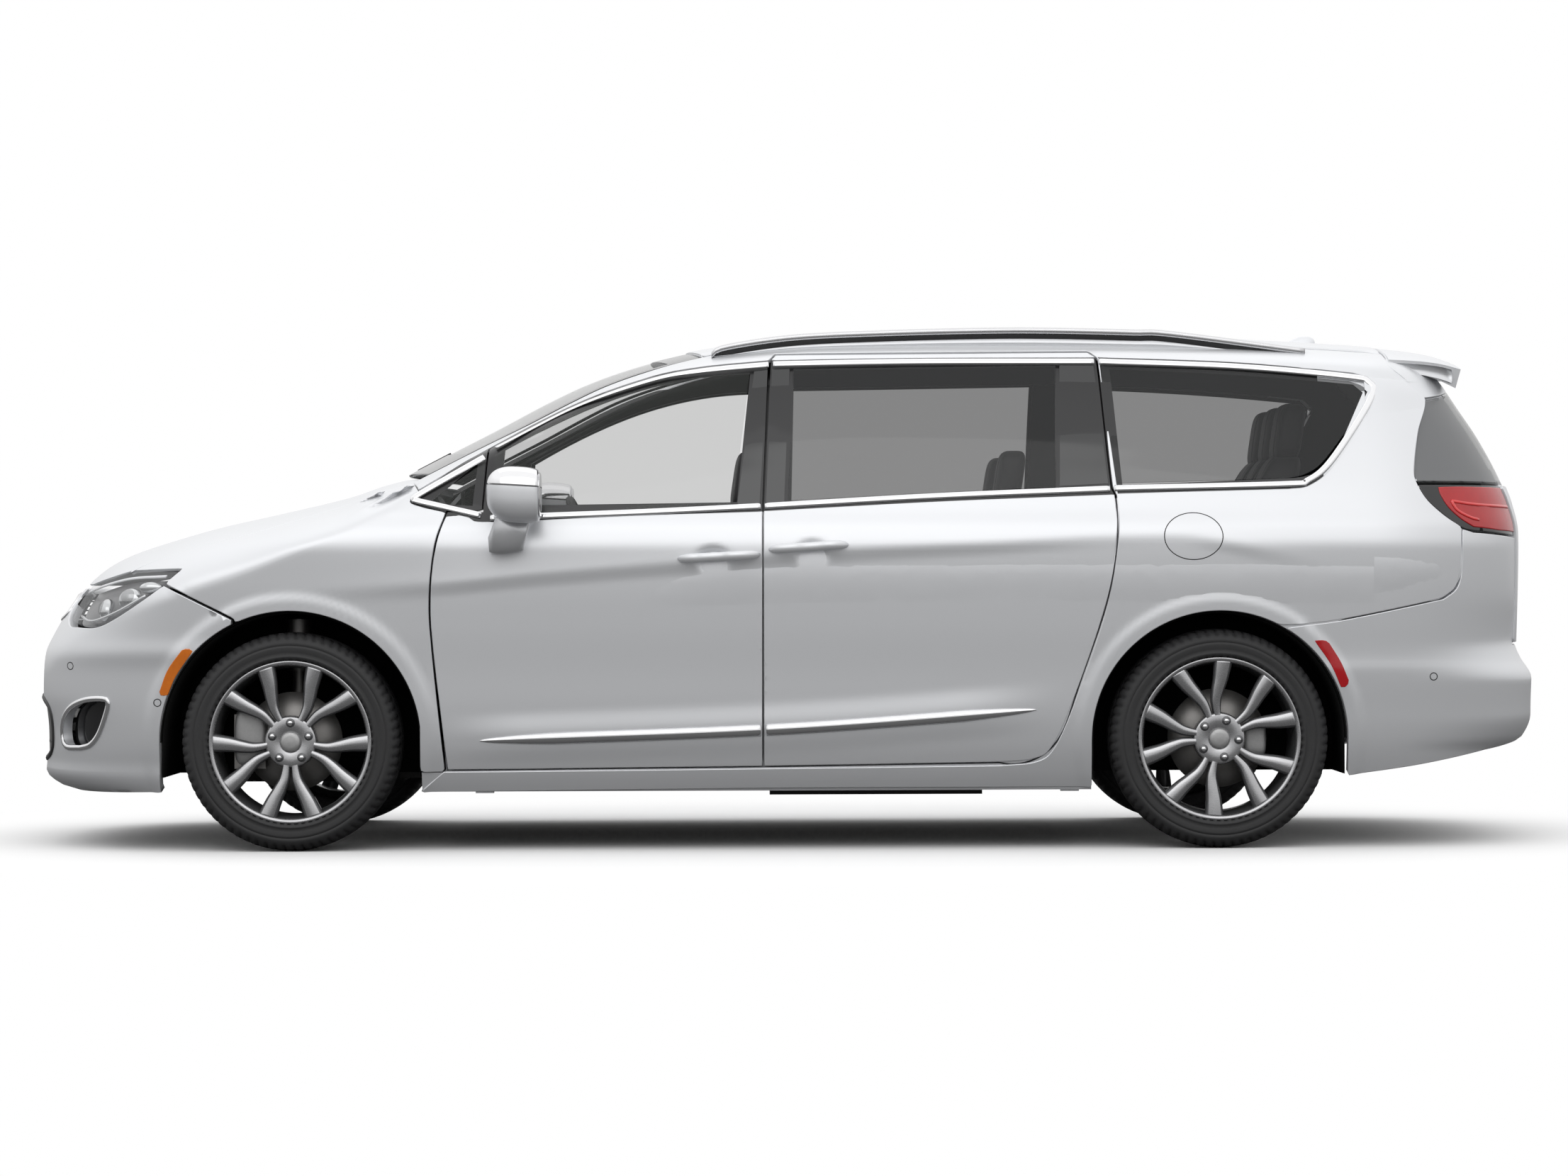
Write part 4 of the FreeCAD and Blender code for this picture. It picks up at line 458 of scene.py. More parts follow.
def facing(part, outward):
    """The part with its faces turned so that their normals agree with outward, a point function."""
    points, blocks = part
    turned = []
    for block in blocks:
        a, b, c = points[block[:, 0]], points[block[:, 1]], points[block[:, 2]]
        normal = np.cross(b - a, c - a)
        middle = (a + b + c) / 3
        wrong = (normal * outward(middle)).sum() < 0
        turned.append(block[:, ::-1] if wrong else block)
    return points, turned


def hems(loops3, normals3, outs, radius, depth):
    """Rounded edge and flange round each loop: quarter circle of the radius, then straight down the normal."""
    parts = []
    for points, normal, out in zip(loops3, normals3, outs):
        along = np.roll(points, -1, axis=0) - np.roll(points, 1, axis=0)
        side = np.cross(along, normal)
        side /= np.maximum(np.linalg.norm(side, axis=1, keepdims=True), 1e-9)
        side *= out
        angles = np.radians([0, 30, 60, 90])
        rings = [points + side * radius * np.sin(t) - normal * radius * (1 - np.cos(t)) for t in angles]
        rings.append(rings[-1] - normal * depth)
        faces = grid_faces(5, len(points), closed_columns=True)
        if out > 0:
            faces = faces[:, ::-1]
        parts.append((np.concatenate(rings), [faces]))
    return parts


def panel(surface, outline, holes=(), lift=skin_lift, pressed=flat, depth=hem_depth, radius=hem_radius):
    """A sheet cut to an outline with holes, all in the surface's two coordinates: a grid of points in them, joined to
    the outlines by Delaunay triangles, with a rounded and turned-in edge all round."""
    flats = []
    for k, loop in enumerate([outline] + list(holes)):
        plane = grown(loop, -radius if k == 0 else radius)
        if signed_area(plane) < 0:
            plane = plane[::-1]
        flats.append(plane)
    low, high = flats[0].min(axis=0), flats[0].max(axis=0)
    xs = np.arange(low[0], high[0], grid_pitch)
    zs = np.arange(low[1], high[1], grid_pitch * row_share)
    gx, gz = np.meshgrid(xs, zs)
    gx = gx + (np.arange(len(zs)) % 2)[:, None] * grid_pitch / 2
    cloud = np.stack([gx.ravel(), gz.ravel()], axis=1)
    cloud = cloud[inside(cloud, flats[0])]
    for hole in flats[1:]:
        cloud = cloud[~inside(cloud, hole)]
    if len(cloud):
        cloud = cloud[away_from(cloud, flats, grid_pitch * edge_share)]
    places = np.concatenate(flats + [cloud])
    edges, start = [], 0
    for loop in flats:
        around = np.arange(len(loop)) + start
        edges.append(np.stack([around, np.roll(around, -1)], axis=1))
        start += len(loop)
    found = delaunay_2d_cdt([Vector(p) for p in places.tolist()], np.concatenate(edges).tolist(), [], 0, 1e-7)
    plane = np.array([tuple(v) for v in found[0]])
    faces = np.array([f for f in found[2] if len(f) == 3])
    middle = plane[faces].mean(axis=1)
    keep = inside(middle, flats[0])
    for hole in flats[1:]:
        keep &= ~inside(middle, hole)
    faces = faces[keep]
    points = skin_points(surface, plane[:, 0], plane[:, 1], lift, pressed)[0]
    rims = [skin_points(surface, loop[:, 0], loop[:, 1], lift, pressed) for loop in flats]
    corner = points[faces]
    normal = np.cross(corner[:, 1] - corner[:, 0], corner[:, 2] - corner[:, 0])
    true_normal = skin_points(surface, middle[keep][:, 0], middle[keep][:, 1], lift, pressed)[1]
    hand = -1 if (normal * true_normal).sum() < 0 else 1
    outs = [hand if k == 0 else -hand for k in range(len(flats))]
    return [(points, [faces[:, ::hand]])] + hems([r[0] for r in rims], [r[1] for r in rims], outs, radius, depth)


def carried(path, normal, profile, closed=False, taper=None):
    """A profile of (across, height) pairs carried along a path, across = path direction x normal."""
    along = np.roll(path, -1, axis=0) - np.roll(path, 1, axis=0)
    if not closed:
        along[0], along[-1] = path[1] - path[0], path[-1] - path[-2]
    across = np.cross(along, normal)
    across /= np.maximum(np.linalg.norm(across, axis=1, keepdims=True), 1e-9)
    profile = np.array(profile, float)
    scale = np.ones(len(path)) if taper is None else taper(np.linspace(0, 1, len(path)))
    rows = (path[:, None] + across[:, None] * (profile[None, :, :1] * scale[:, None, None])
            + normal[:, None] * (profile[None, :, 1:] * scale[:, None, None]))
    faces = grid_faces(len(path), len(profile), closed_rows=closed, closed_columns=True)
    points = rows.reshape(-1, 3)
    blocks = [faces[:, ::-1]]
    if not closed:
        last = (len(path) - 1) * len(profile)
        blocks.append(np.arange(len(profile))[None])
        blocks.append((last + np.arange(len(profile)))[None, ::-1])
    return points, blocks


def on_side(surface, line, lift, pressed=relief):
    """Points and normals on a surface along a side view line."""
    a, b = surface[1](line[:, 0], line[:, 1])
    return skin_points(surface, a, b, lift, pressed)


def revolved(profile, count, ripple=None):
    """A profile of (radius, y) pairs turned about the y axis, with its radii rippled by angle."""
    profile = np.array(profile, float)
    angles = np.linspace(0, 2 * np.pi, count, endpoint=False)
    radii = np.repeat(profile[None, :, 0], count, axis=0)
    if ripple is not None:
        radii = radii - ripple(angles[:, None], profile[None, :, 1])
    points = np.stack([radii * np.cos(angles)[:, None], np.repeat(profile[None, :, 1], count, axis=0),
                       radii * np.sin(angles)[:, None]], axis=-1)
    return points.reshape(-1, 3), [grid_faces(count, len(profile), closed_rows=True)[:, ::-1]]


def power_of(values, power):
    """A power of the size, with the sign kept."""
    return np.sign(values) * np.abs(values) ** power


def rounded_box(centre, size, power=5.0, count=28, bend=None):
    """A superellipsoid: sines and cosines of two angles raised to 2 / power, stretched to the size."""
    u = np.linspace(-np.pi / 2, np.pi / 2, count)[:, None]
    w = np.linspace(-np.pi, np.pi, 2 * count, endpoint=False)[None, :]

    level = power_of(np.cos(u), 2 / power)
    points = np.stack([level * power_of(np.cos(w), 2 / power), level * power_of(np.sin(w), 2 / power),
                       power_of(np.sin(u), 2 / power) + 0 * w], axis=-1).reshape(-1, 3) * (np.array(size) / 2)
    if bend is not None:
        points = bend(points)
    return points + np.array(centre), [grid_faces(count, 2 * count, closed_columns=True)]


# Materials

def wire(tree, kind, inputs, **settings):
    """A new shader node of a kind, with settings, whose inputs are values or sockets to link from."""
    node = tree.nodes.new("ShaderNode" + kind)
    for key, value in settings.items():
        setattr(node, key, value)
    for key, value in inputs.items():
        if isinstance(value, bpy.types.NodeSocket):
            tree.links.new(value, node.inputs[key])
        else:
            node.inputs[key].default_value = value
    return node


def feed(tree, shader, key, source):
    """Links a socket to one input of a node."""
    tree.links.new(source, shader.inputs[key])


def finish(name, colour, second=None, scale=40.0, metallic=0.0, roughness=0.5, spread=0.05, bump=0.0,
           bump_scale=400.0, coat=0.0, coat_roughness=0.04, alpha=1.0, specular=0.5, sheen=0.0, stretch=(1, 1, 1)):
    """Procedural material: noise over object coordinates varies colour, roughness and a fine bump."""
    material = bpy.data.materials.new(name)
    material.use_nodes = True
    tree = material.node_tree
    shader = tree.nodes["Principled BSDF"]
    second = second or [c * 0.9 for c in colour]
    place = wire(tree, "TexCoord", {})
    turn = wire(tree, "Mapping", {"Vector": place.outputs["Object"], "Scale": stretch}).outputs["Vector"]
    noise = wire(tree, "TexNoise", {"Vector": turn, "Scale": scale, "Detail": 4.0}).outputs["Fac"]
    mix = wire(tree, "Mix", {"Factor": noise, "A": (*colour, 1), "B": (*second, 1)}, data_type="RGBA")
    feed(tree, shader, "Base Color", mix.outputs["Result"])
    shader.inputs["Roughness"].default_value = roughness
    if spread:
        ramp = wire(tree, "MapRange", {"Value": noise, "To Min": roughness - spread, "To Max": roughness + spread})
        feed(tree, shader, "Roughness", ramp.outputs["Result"])
    if bump:
        grain = wire(tree, "TexNoise", {"Vector": turn, "Scale": bump_scale}).outputs["Fac"]
        rise = wire(tree, "Bump", {"Height": grain, "Strength": bump, "Distance": 0.001})
        feed(tree, shader, "Normal", rise.outputs["Normal"])
    for key, value in (("Metallic", metallic), ("Coat Weight", coat), ("Coat Roughness", coat_roughness),
                       ("Specular IOR Level", specular), ("Sheen Weight", sheen), ("Alpha", alpha)):
        shader.inputs[key].default_value = value
    material.diffuse_color = (*colour, 1)
    return material


paint_tones = (0.76, 0.77, 0.79), (0.70, 0.71, 0.73)
paint_coat = dict(scale=900, metallic=0.60, roughness=0.40, spread=0.04, coat=0.35)
silver_paint = finish("silver_paint", *paint_tones, coat_roughness=0.25, **paint_coat)
black_gloss = finish("black_gloss", (0.012, 0.012, 0.013), scale=60, roughness=0.12, spread=0.03, coat=0.3)
black_plastic = finish("black_plastic", (0.020, 0.020, 0.021), scale=80, roughness=0.55, bump=0.25, bump_scale=900)
seal_rubber = finish("seal_rubber", (0.010, 0.010, 0.010), scale=80, roughness=0.6, bump=0.1, bump_scale=700)
chrome = finish("chrome", (0.80, 0.80, 0.81), (0.76, 0.76, 0.77), scale=30, metallic=1.0, roughness=0.10, spread=0.03)
dark_glass = finish("dark_glass", (0.030, 0.031, 0.032), (0.026, 0.027, 0.028), scale=3, roughness=0.03, spread=0.01,
                    alpha=0.56)
clear_glass = finish("clear_glass", (0.10, 0.105, 0.10), (0.09, 0.095, 0.09), scale=3, roughness=0.03, spread=0.01,
                     alpha=0.24)
screen_glass = finish("screen_glass", (0.05, 0.055, 0.052), (0.045, 0.05, 0.047), scale=3, roughness=0.03,
                      spread=0.01, alpha=0.35)
tyre_rubber = finish("tyre_rubber", (0.020, 0.020, 0.021), (0.030, 0.030, 0.031), scale=14, roughness=0.62,
                     bump=0.35, bump_scale=500)
machined = finish("machined_alloy", (0.50, 0.50, 0.51), (0.44, 0.44, 0.45), scale=60, metallic=0.9, roughness=0.28,
                  stretch=(1, 1, 6))
pocket_grey = finish("pocket_grey", (0.110, 0.112, 0.116), (0.125, 0.125, 0.130), scale=80, metallic=0.5,
                     roughness=0.38, coat=0.3)
iron = finish("brake_iron", (0.20, 0.195, 0.19), (0.28, 0.27, 0.26), scale=35, metallic=0.9, roughness=0.42,
              bump=0.2, bump_scale=300)
cast_alloy = finish("cast_alloy", (0.48, 0.48, 0.48), (0.40, 0.40, 0.40), scale=120, metallic=0.8, roughness=0.45,
                    bump=0.5, bump_scale=600)
chassis_black = finish("chassis_black", (0.018, 0.018, 0.018), (0.030, 0.029, 0.028), scale=9, roughness=0.65,
                       bump=0.3, bump_scale=120)
floor_black = finish("floor_coating", (0.022, 0.022, 0.022), (0.034, 0.033, 0.032), scale=6, roughness=0.75,
                     bump=0.5, bump_scale=200)
liner_felt = finish("liner_felt", (0.006, 0.006, 0.006), (0.010, 0.010, 0.010), scale=20, roughness=0.9, bump=0.5,
                    bump_scale=500, specular=0.2)
cabin_lining = finish("cabin_lining", (0.10, 0.10, 0.10), (0.12, 0.12, 0.12), scale=200, roughness=0.85, bump=0.4,
                      bump_scale=1500, specular=0.3)
dash_plastic = finish("dash_plastic", (0.035, 0.035, 0.036), (0.045, 0.045, 0.046), scale=90, roughness=0.6,
                      bump=0.5, bump_scale=900)
seat_leather = finish("seat_leather", (0.045, 0.045, 0.047), (0.060, 0.060, 0.062), scale=60, roughness=0.5,
                      bump=0.6, bump_scale=420, sheen=0.1)
amber = finish("amber_lens", (0.75, 0.20, 0.01), (0.62, 0.14, 0.01), scale=50, roughness=0.15, coat=0.6, bump=0.3,
               bump_scale=220)
red_lens = finish("red_lens", (0.50, 0.004, 0.008), (0.38, 0.003, 0.006), scale=30, roughness=0.20, coat=0.25,
                  bump=0.2, bump_scale=200)
lamp_cover = finish("lamp_cover", (0.60, 0.61, 0.62), (0.55, 0.56, 0.57), scale=8, roughness=0.04, spread=0.01,
                    alpha=0.16)
lamp_chrome = finish("lamp_reflector", (0.70, 0.71, 0.72), (0.55, 0.56, 0.57), scale=18, metallic=1.0, roughness=0.16)
lamp_dark = finish("lamp_bezel", (0.10, 0.10, 0.105), (0.14, 0.14, 0.145), scale=40, metallic=0.4, roughness=0.30)
rail_satin = finish("rail_satin", (0.62, 0.62, 0.63), (0.58, 0.58, 0.59), scale=50, metallic=0.9, roughness=0.28)
lamp_white = finish("lamp_light_bar", (0.85, 0.86, 0.88), (0.80, 0.81, 0.83), scale=30, roughness=0.2)
red_bright = finish("red_light_bar", (0.75, 0.03, 0.03), (0.62, 0.02, 0.02), scale=30, roughness=0.15, coat=0.5)
dark_panel = finish("pillar_panel", (0.034, 0.035, 0.036), (0.030, 0.031, 0.032), scale=5, roughness=0.06, coat=0.3)
plate_grey = finish("plate_grey", (0.55, 0.55, 0.54), (0.50, 0.50, 0.49), scale=70, roughness=0.45, bump=0.2)


# CAD nodes that stay get their finish by name

def door_finish(name, outer):
    """Paint on the outside and edges, dark lining on faces that look into the cabin, and above the belt as far back
    as the last side window."""
    material = finish(name, *paint_tones, **paint_coat)
    tree = material.node_tree
    shader = tree.nodes["Principled BSDF"]
    place = next(n for n in tree.nodes if n.type == "TEX_COORD")
    side = wire(tree, "SeparateXYZ", {"Vector": place.outputs["Normal"]}).outputs["Y"]
    inner = wire(tree, "Math", {0: side, 1: -8.0 * outer, 2: -2.4}, operation="MULTIPLY_ADD", use_clamp=True)
    where = wire(tree, "SeparateXYZ", {"Vector": place.outputs["Object"]}).outputs
    belt = wire(tree, "Math", {0: where["X"], 1: -0.035, 2: -1.125}, operation="MULTIPLY_ADD").outputs[0]
    above = wire(tree, "Math", {0: where["Z"], 1: belt}, operation="ADD").outputs[0]
    sharp = wire(tree, "Math", {0: above, 1: 400.0}, operation="MULTIPLY", use_clamp=True).outputs[0]
    ahead = wire(tree, "Math", {0: where["X"], 1: 1.80}, operation="LESS_THAN").outputs[0]
    dark = wire(tree, "Math", {0: sharp, 1: ahead}, operation="MULTIPLY").outputs[0]
    either = wire(tree, "Math", {0: inner.outputs[0], 1: dark}, operation="MAXIMUM").outputs[0]
    before = shader.inputs["Base Color"].links[0].from_socket
    mix = wire(tree, "Mix", {"Factor": either, "A": before, "B": (0.028, 0.028, 0.029, 1)}, data_type="RGBA")
    feed(tree, shader, "Base Color", mix.outputs["Result"])
    return material


left_door_paint = door_finish("door_paint_left", -1)
right_door_paint = door_finish("door_paint_right", 1)

node_finish = {
    "body_side_left": left_door_paint, "body_side_right": right_door_paint,
    "front_door_left": left_door_paint, "front_door_right": right_door_paint,
    "sliding_door_left": left_door_paint, "sliding_door_right": right_door_paint,
    "hood": silver_paint, "roof_panel": silver_paint, "tailgate": silver_paint, "grille": black_plastic,
    "headliner": cabin_lining, "floor_pan": floor_black, "engine": chassis_black, "front_subframe": chassis_black,
    "knuckle_left": iron, "knuckle_right": iron, "rear_axle": chassis_black, "wheel_liners": liner_felt,
    "dashboard": dash_plastic, "steering_wheel": dash_plastic, "fuel_tank": chassis_black, "exhaust": iron,
}
for name, material in node_finish.items():
    for slot in nodes[name].material_slots:
        slot.material = material


# Side view outlines, in shares of half the length and of the roof height

front_door_lower = loop_of(closed(
    [(-0.4455, 0.580), (-0.4530, 0.480), (-0.4500, 0.380), (-0.4331, 0.155)], [(-0.0290, 0.160)], [(-0.0278, 0.6420)],
    [(-0.2000, 0.6350), (-0.3766, 0.6240), (-0.4040, 0.6330)], [(-0.4316, 0.643)]))
sliding_door_lower = loop_of(closed(
    [(0.2761, 0.166)],
    [(0.3210, 0.172), (0.3442, 0.197), (0.3708, 0.284), (0.4114, 0.4615), (0.4269, 0.600), (0.4255, 0.6720)],
    [(0.2000, 0.6600), (-0.0255, 0.6430)], [(-0.0260, 0.160)]))
sliding_door_upper = loop_of(closed(
    [(0.1700, 0.9380), (0.4078, 0.9380)], [(0.3975, 0.948)], [(-0.0100, 0.945)], [(-0.0155, 0.9350)]))
quarter_hole = metres(closed(
    [(1.5290, 1.6240), (1.9200, 1.5870)],
    [(1.9810, 1.5660), (2.0010, 1.5300), (1.9620, 1.4490), (1.8340, 1.2710), (1.7510, 1.2060), (1.6810, 1.1940)],
    [(1.1120, 1.1800)], [(1.0620, 1.6430)]))
tail_shut = [(2.0410, 1.6600), (2.0530, 1.6100), (2.1010, 1.5660), (2.1680, 1.5030), (2.1290, 1.3820),
             (2.1050, 1.2540), (2.1130, 1.2060)]
lamp_edge = [(2.1130, 1.2060), (2.1440, 1.1540), (2.2000, 1.1020), (2.2580, 1.0640)]
bumper_shut = [(2.2580, 1.0640), (2.2430, 0.8900), (2.1980, 0.8370), (2.1390, 0.8180), (1.8570, 0.7610),
               (1.7180, 0.7430)]


def arch_arc(axle_x, radius, first, last, count=20):
    """Side view places round an axle between two angles in degrees."""
    angles = np.radians(np.linspace(first, last, count))
    return list(zip(axle_x + radius * np.cos(angles), axle_height + radius * np.sin(angles)))


def in_domain(surface, runs, pitch=0.012):
    """Side view runs in metres as one open line of even places in a surface's own coordinates."""
    line = np.concatenate([curve(run, 0.004)[:-1] for run in runs] + [np.array([runs[-1][-1]], float)])
    return even(np.stack(surface[1](line[:, 0], line[:, 1]), axis=1), pitch)


def shares(runs):
    """Runs in metres from runs of shares of half the length and the roof height."""
    return [[(x * half_length, z * roof_height) for x, z in run] for run in runs]


def side_reach(x, z):
    """Half width of the cabin side at a place of the side view."""
    s, _ = cabin[1](x, z)
    share = np.clip((z - cabin_line(s) + cabin_drop(s)) / cabin_drop(s), 0, 1)
    return (1 - share ** shoulder_power) ** (1 / shoulder_power) * plain_width(x, z)


def fender_points(a, b):
    """Hood sections whose rear end swells out to the foot of the windscreen pillar, by a smooth step along x."""
    points = bonnet[0](a, b)
    x, y, z = points[..., 0], points[..., 1], points[..., 2]
    more = np.maximum(side_reach(x, z) - np.abs(y), 0) * step(x, -1.46, -1.23) * (z < 1.215)
    return np.stack([x, y + np.sign(y) * more, z], axis=-1)


wing = (fender_points, bonnet[1], bonnet[2])


def at_width(surface, a, y, widest=1.2):
    """Second coordinate of the places where the section at a is y from the middle, on the left."""
    trial = np.linspace(0, widest, 500)
    reach = -surface[0](np.repeat(a[:, None], 500, axis=1), np.repeat(-trial[None], len(a), axis=0))[..., 1]
    first = np.argmax(reach >= y[:, None], axis=1).clip(1)
    rows = np.arange(len(a))
    low, high = reach[rows, first - 1], reach[rows, first]
    part = ((y - low) / np.maximum(high - low, 1e-9)).clip(0, 1)
    return -(trial[first - 1] + part * (trial[1] - trial[0]))


hood_side = smooth([(-0.8500, 0.745), (-0.7100, 0.780), (-0.5970, 0.745), (-0.4750, 0.690)], half_length,
                   body_half_width)


def hood_side_line(gap):
    """The line between hood and fender, a gap further out, in the bonnet's coordinates."""
    xs = np.linspace(-0.8500 * half_length, -0.4830 * half_length, 160)
    return np.stack([xs, at_width(bonnet, xs, hood_side(xs) + gap)], axis=1)


def closed_loop(lines, pitch=0.012):
    """One closed loop from lines of places, each resampled evenly."""
    return np.concatenate([even(np.asarray(line, float), pitch)[:-1] for line in lines])


def link(first, second):
    """Straight run from the end of one line to the start of another."""
    return [first[-1], second[0]]


def body_side_outline():
    """Roof edge, tail shut line, lamp, bumper, rear arch, sill, and the door openings' lower and upper edges."""
    roof_s = np.linspace(-0.534 * half_length, 0.787 * half_length, 240)
    share = smooth([(-1.40, 0.313), (-0.60, 0.313), (-0.40, 0.303), (2.20, 0.303)], 1, 1)(roof_s)
    roof = np.stack(cabin[2](roof_s, share), axis=1)
    rear_arc = arch_arc(rear_axle_x, rear_arch_radius, 62.5, 180.0)
    rear = in_domain(cabin, [tail_shut, lamp_edge, bumper_shut, [bumper_shut[-1], rear_arc[0]], rear_arc,
                             [rear_arc[-1], (1.0210, 0.2050)], [(1.0210, 0.2050), (0.0, 0.2060), (-1.2140, 0.1960)],
                             [(-1.2140, 0.1960), (-1.1330, 0.2630)]])
    doors = in_domain(cabin, shares([
        [(-0.4370, 0.1500), (0.2761, 0.1590)],
        [(0.2761, 0.1590), (0.3230, 0.1660), (0.3465, 0.1930), (0.3731, 0.2820), (0.4140, 0.4610), (0.4295, 0.600),
         (0.4285, 0.670)],
        [(0.4285, 0.670), (0.4237, 0.685)],
        [(0.4237, 0.685), (0.4200, 0.750), (0.4110, 0.9360)],
        [(0.4110, 0.9360), (0.3985, 0.9520)],
        [(0.3985, 0.9520), (-0.0110, 0.9490)],
        [(-0.0110, 0.9490), (-0.0190, 0.9350)],
        [(-0.0190, 0.9350), (-0.1083, 0.9235), (-0.1748, 0.9050), (-0.2734, 0.8530), (-0.3743, 0.7750),
         (-0.4714, 0.6860)],
    ]))
    return closed_loop([roof, link(roof, rear), rear, link(rear, doors), doors, link(doors, roof)])


def mirrored_half(line, turn):
    """A closed loop from its left half, which starts and ends on the middle line."""
    right = line[::-1] * turn
    return np.concatenate([line[:-1], right[:-1]])


def hood_outline():
    """Nose edge, lamp edge, gap beside the fender, and the rear edge, a parabola in plan."""
    top = 0.5085 * roof_height
    xs = -0.9485 * half_length + (0.0305 * half_length) * np.linspace(0, 1, 200) ** 2
    front = np.stack(bonnet[1](xs, np.full(200, top)), axis=1)
    front[0, 1] = 0
    lamp = in_domain(bonnet, shares([[(-0.9180, 0.5085), (-0.8496, 0.5345)]]))
    side = hood_side_line(0.0010)
    ys = np.linspace(side[-1, 1], 0, 80)
    reach = np.abs(ys) / (0.85 * body_half_width)
    rear = np.stack([-0.519 * half_length + 0.071 * half_length * reach ** 2, ys], axis=1)
    half = closed_open([front, link(front, lamp), lamp, link(lamp, side), side, link(side, rear), rear])
    return mirrored_half(half, (1, -1))


def closed_open(lines, pitch=0.012):
    """One open line from lines of places, each resampled evenly."""
    parts = [even(np.asarray(line, float), pitch)[:-1] for line in lines]
    return np.concatenate(parts + [np.array([lines[-1][-1]], float)])


def fender_loop():
    """Fender from the pillar's foot down the door gap, over the arch, along bumper and lamp, and back beside the
    hood."""
    low = in_domain(bonnet, shares([
        [(-0.4690, 0.6800), (-0.4790, 0.6690), (-0.4760, 0.6580), (-0.4340, 0.6430)],
        [(-0.4340, 0.643), (-0.4480, 0.580), (-0.4556, 0.480), (-0.4526, 0.380), (-0.4372, 0.1500)],
        [(-0.4372, 0.1500), (-0.4685, 0.1500)],
        [(-0.4685, 0.1500), (-0.4680, 0.2360)],
        [(x / half_length, z / roof_height) for x, z in arch_arc(front_axle_x, front_arch_radius, 6.5, 114.5)],
        [(-0.7067, 0.4435), (-0.7955, 0.509)],
        [(-0.7955, 0.509), (-0.7770, 0.533)],
        [(-0.7770, 0.533), (-0.7790, 0.537), (-0.8496, 0.535)],
    ]))
    top = hood_side_line(0.0055)
    return closed_loop([low, link(low, top), top, link(top, low)])


def domain_loop(surface, loop):
    """Side view places in a surface's own coordinates."""
    return np.stack(surface[1](loop[:, 0], loop[:, 1]), axis=1)


side_sheets = [
    ("fender_skin", wing, fender_loop(), [], "body"),
    ("front_door_skin", cabin, domain_loop(cabin, front_door_lower), [], "door"),
    ("sliding_door_skin", cabin, domain_loop(cabin, sliding_door_lower), [], "body"),
    ("sliding_door_top_skin", cabin, domain_loop(cabin, sliding_door_upper), [], "body"),
    ("body_side_skin", cabin, body_side_outline(), [domain_loop(cabin, quarter_hole)], "body"),
]
for name, surface, loop, holes, body in side_sheets:
    fender = name == "fender_skin"
    parts = panel(surface, loop, holes, pressed=relief, depth=fender_hem if fender else hem_depth)
    pair(name, parts, silver_paint, body, "paint", "fender_" if fender else None)

make("hood_skin", panel(bonnet, hood_outline(), depth=hood_hem), silver_paint, "hood_lid", "paint")


# Nose

def width_place(surface, y, z):
    """First coordinate of the place y to the left at height z on an end surface."""
    trial = np.linspace(0, 1.6, 800)
    reach = -surface[0](-trial, np.full(800, float(z)))[:, 1]
    return -float(np.interp(y, reach[:np.argmax(reach) + 1], trial[:np.argmax(reach) + 1]))


def soft_box(centre, half, power=4, count=160):
    """Closed outline of a superellipse: cosine and sine raised to 2 / power."""
    t = np.linspace(0, 2 * np.pi, count, endpoint=False)
    loop = np.stack([centre[0] + half[0] * power_of(np.cos(t), 2 / power),
                     centre[1] + half[1] * power_of(np.sin(t), 2 / power)], axis=1)
    return even(np.concatenate([loop, loop[:1]]), 0.010)[:-1]


def bumper_loop():
    """Top edge under hood and lamp, wheel arch, and bottom of the front bumper."""
    lamp = in_domain(nose, shares([
        [(-0.9250, 0.501), (-0.9400, 0.480), (-0.9455, 0.452), (-0.9350, 0.4290), (-0.9200, 0.4265), (-0.8900, 0.426),
         (-0.8619, 0.443), (-0.8279, 0.474), (-0.7974, 0.5055)],
        [(-0.7974, 0.5055), (-0.7095, 0.4405)],
    ]))
    arch = in_domain(nose, [arch_arc(front_axle_x, front_arch_radius, 116.0, 180.0),
                            [(-2.079, 0.364), (-2.079, 0.205)]])
    top = [(0, 0.501 * roof_height), lamp[0]]
    low = [(arch[-1][0], 0.200), (-0.6, 0.196), (0, 0.196)]
    return mirrored_half(closed_open([top, lamp, link(lamp, arch), arch, low]), (-1, 1))


upper_grille = soft_box((0, 0.4640 * roof_height), (-width_place(nose, 0.445, 0.81), 0.024 * roof_height))
lower_grille = soft_box((0, 0.2275 * roof_height), (-width_place(nose, 0.607, 0.40), 0.0625 * roof_height))
fog_side = metres([[(-2.366, 0.342), (-2.327, 0.353), (-2.296, 0.387), (-2.272, 0.440), (-2.257, 0.492),
                    (-2.270, 0.508), (-2.337, 0.505), (-2.397, 0.482), (-2.433, 0.443), (-2.444, 0.390),
                    (-2.428, 0.345), (-2.366, 0.342)]])
fog_left = domain_loop(nose, fog_side)
fog_right = fog_left * (-1, 1)


def nose_relief(points):
    """Chin lip along the bottom, a soft step above the lower grille, and the arch lips."""
    x, z = points[..., 0], points[..., 2]
    chin = 1 - step(z, 0.235, 0.300)
    brow = np.exp(-((z - 0.66) / 0.035) ** 2)
    return 0.006 * chin + 0.004 * brow + arch_lips(x, z, (front_axle_x, front_arch_radius))


parts = panel(nose, bumper_loop(), [upper_grille, lower_grille, fog_left, fog_right], pressed=nose_relief,
              depth=bumper_hem)
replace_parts(make("front_bumper_skin", parts, silver_paint, "body", "paint"), "front_bumper")

rim_profile = [(-0.010, 0.0), (-0.008, 0.004), (0.0, 0.0065), (0.008, 0.004), (0.010, 0.0), (0.0, -0.004)]


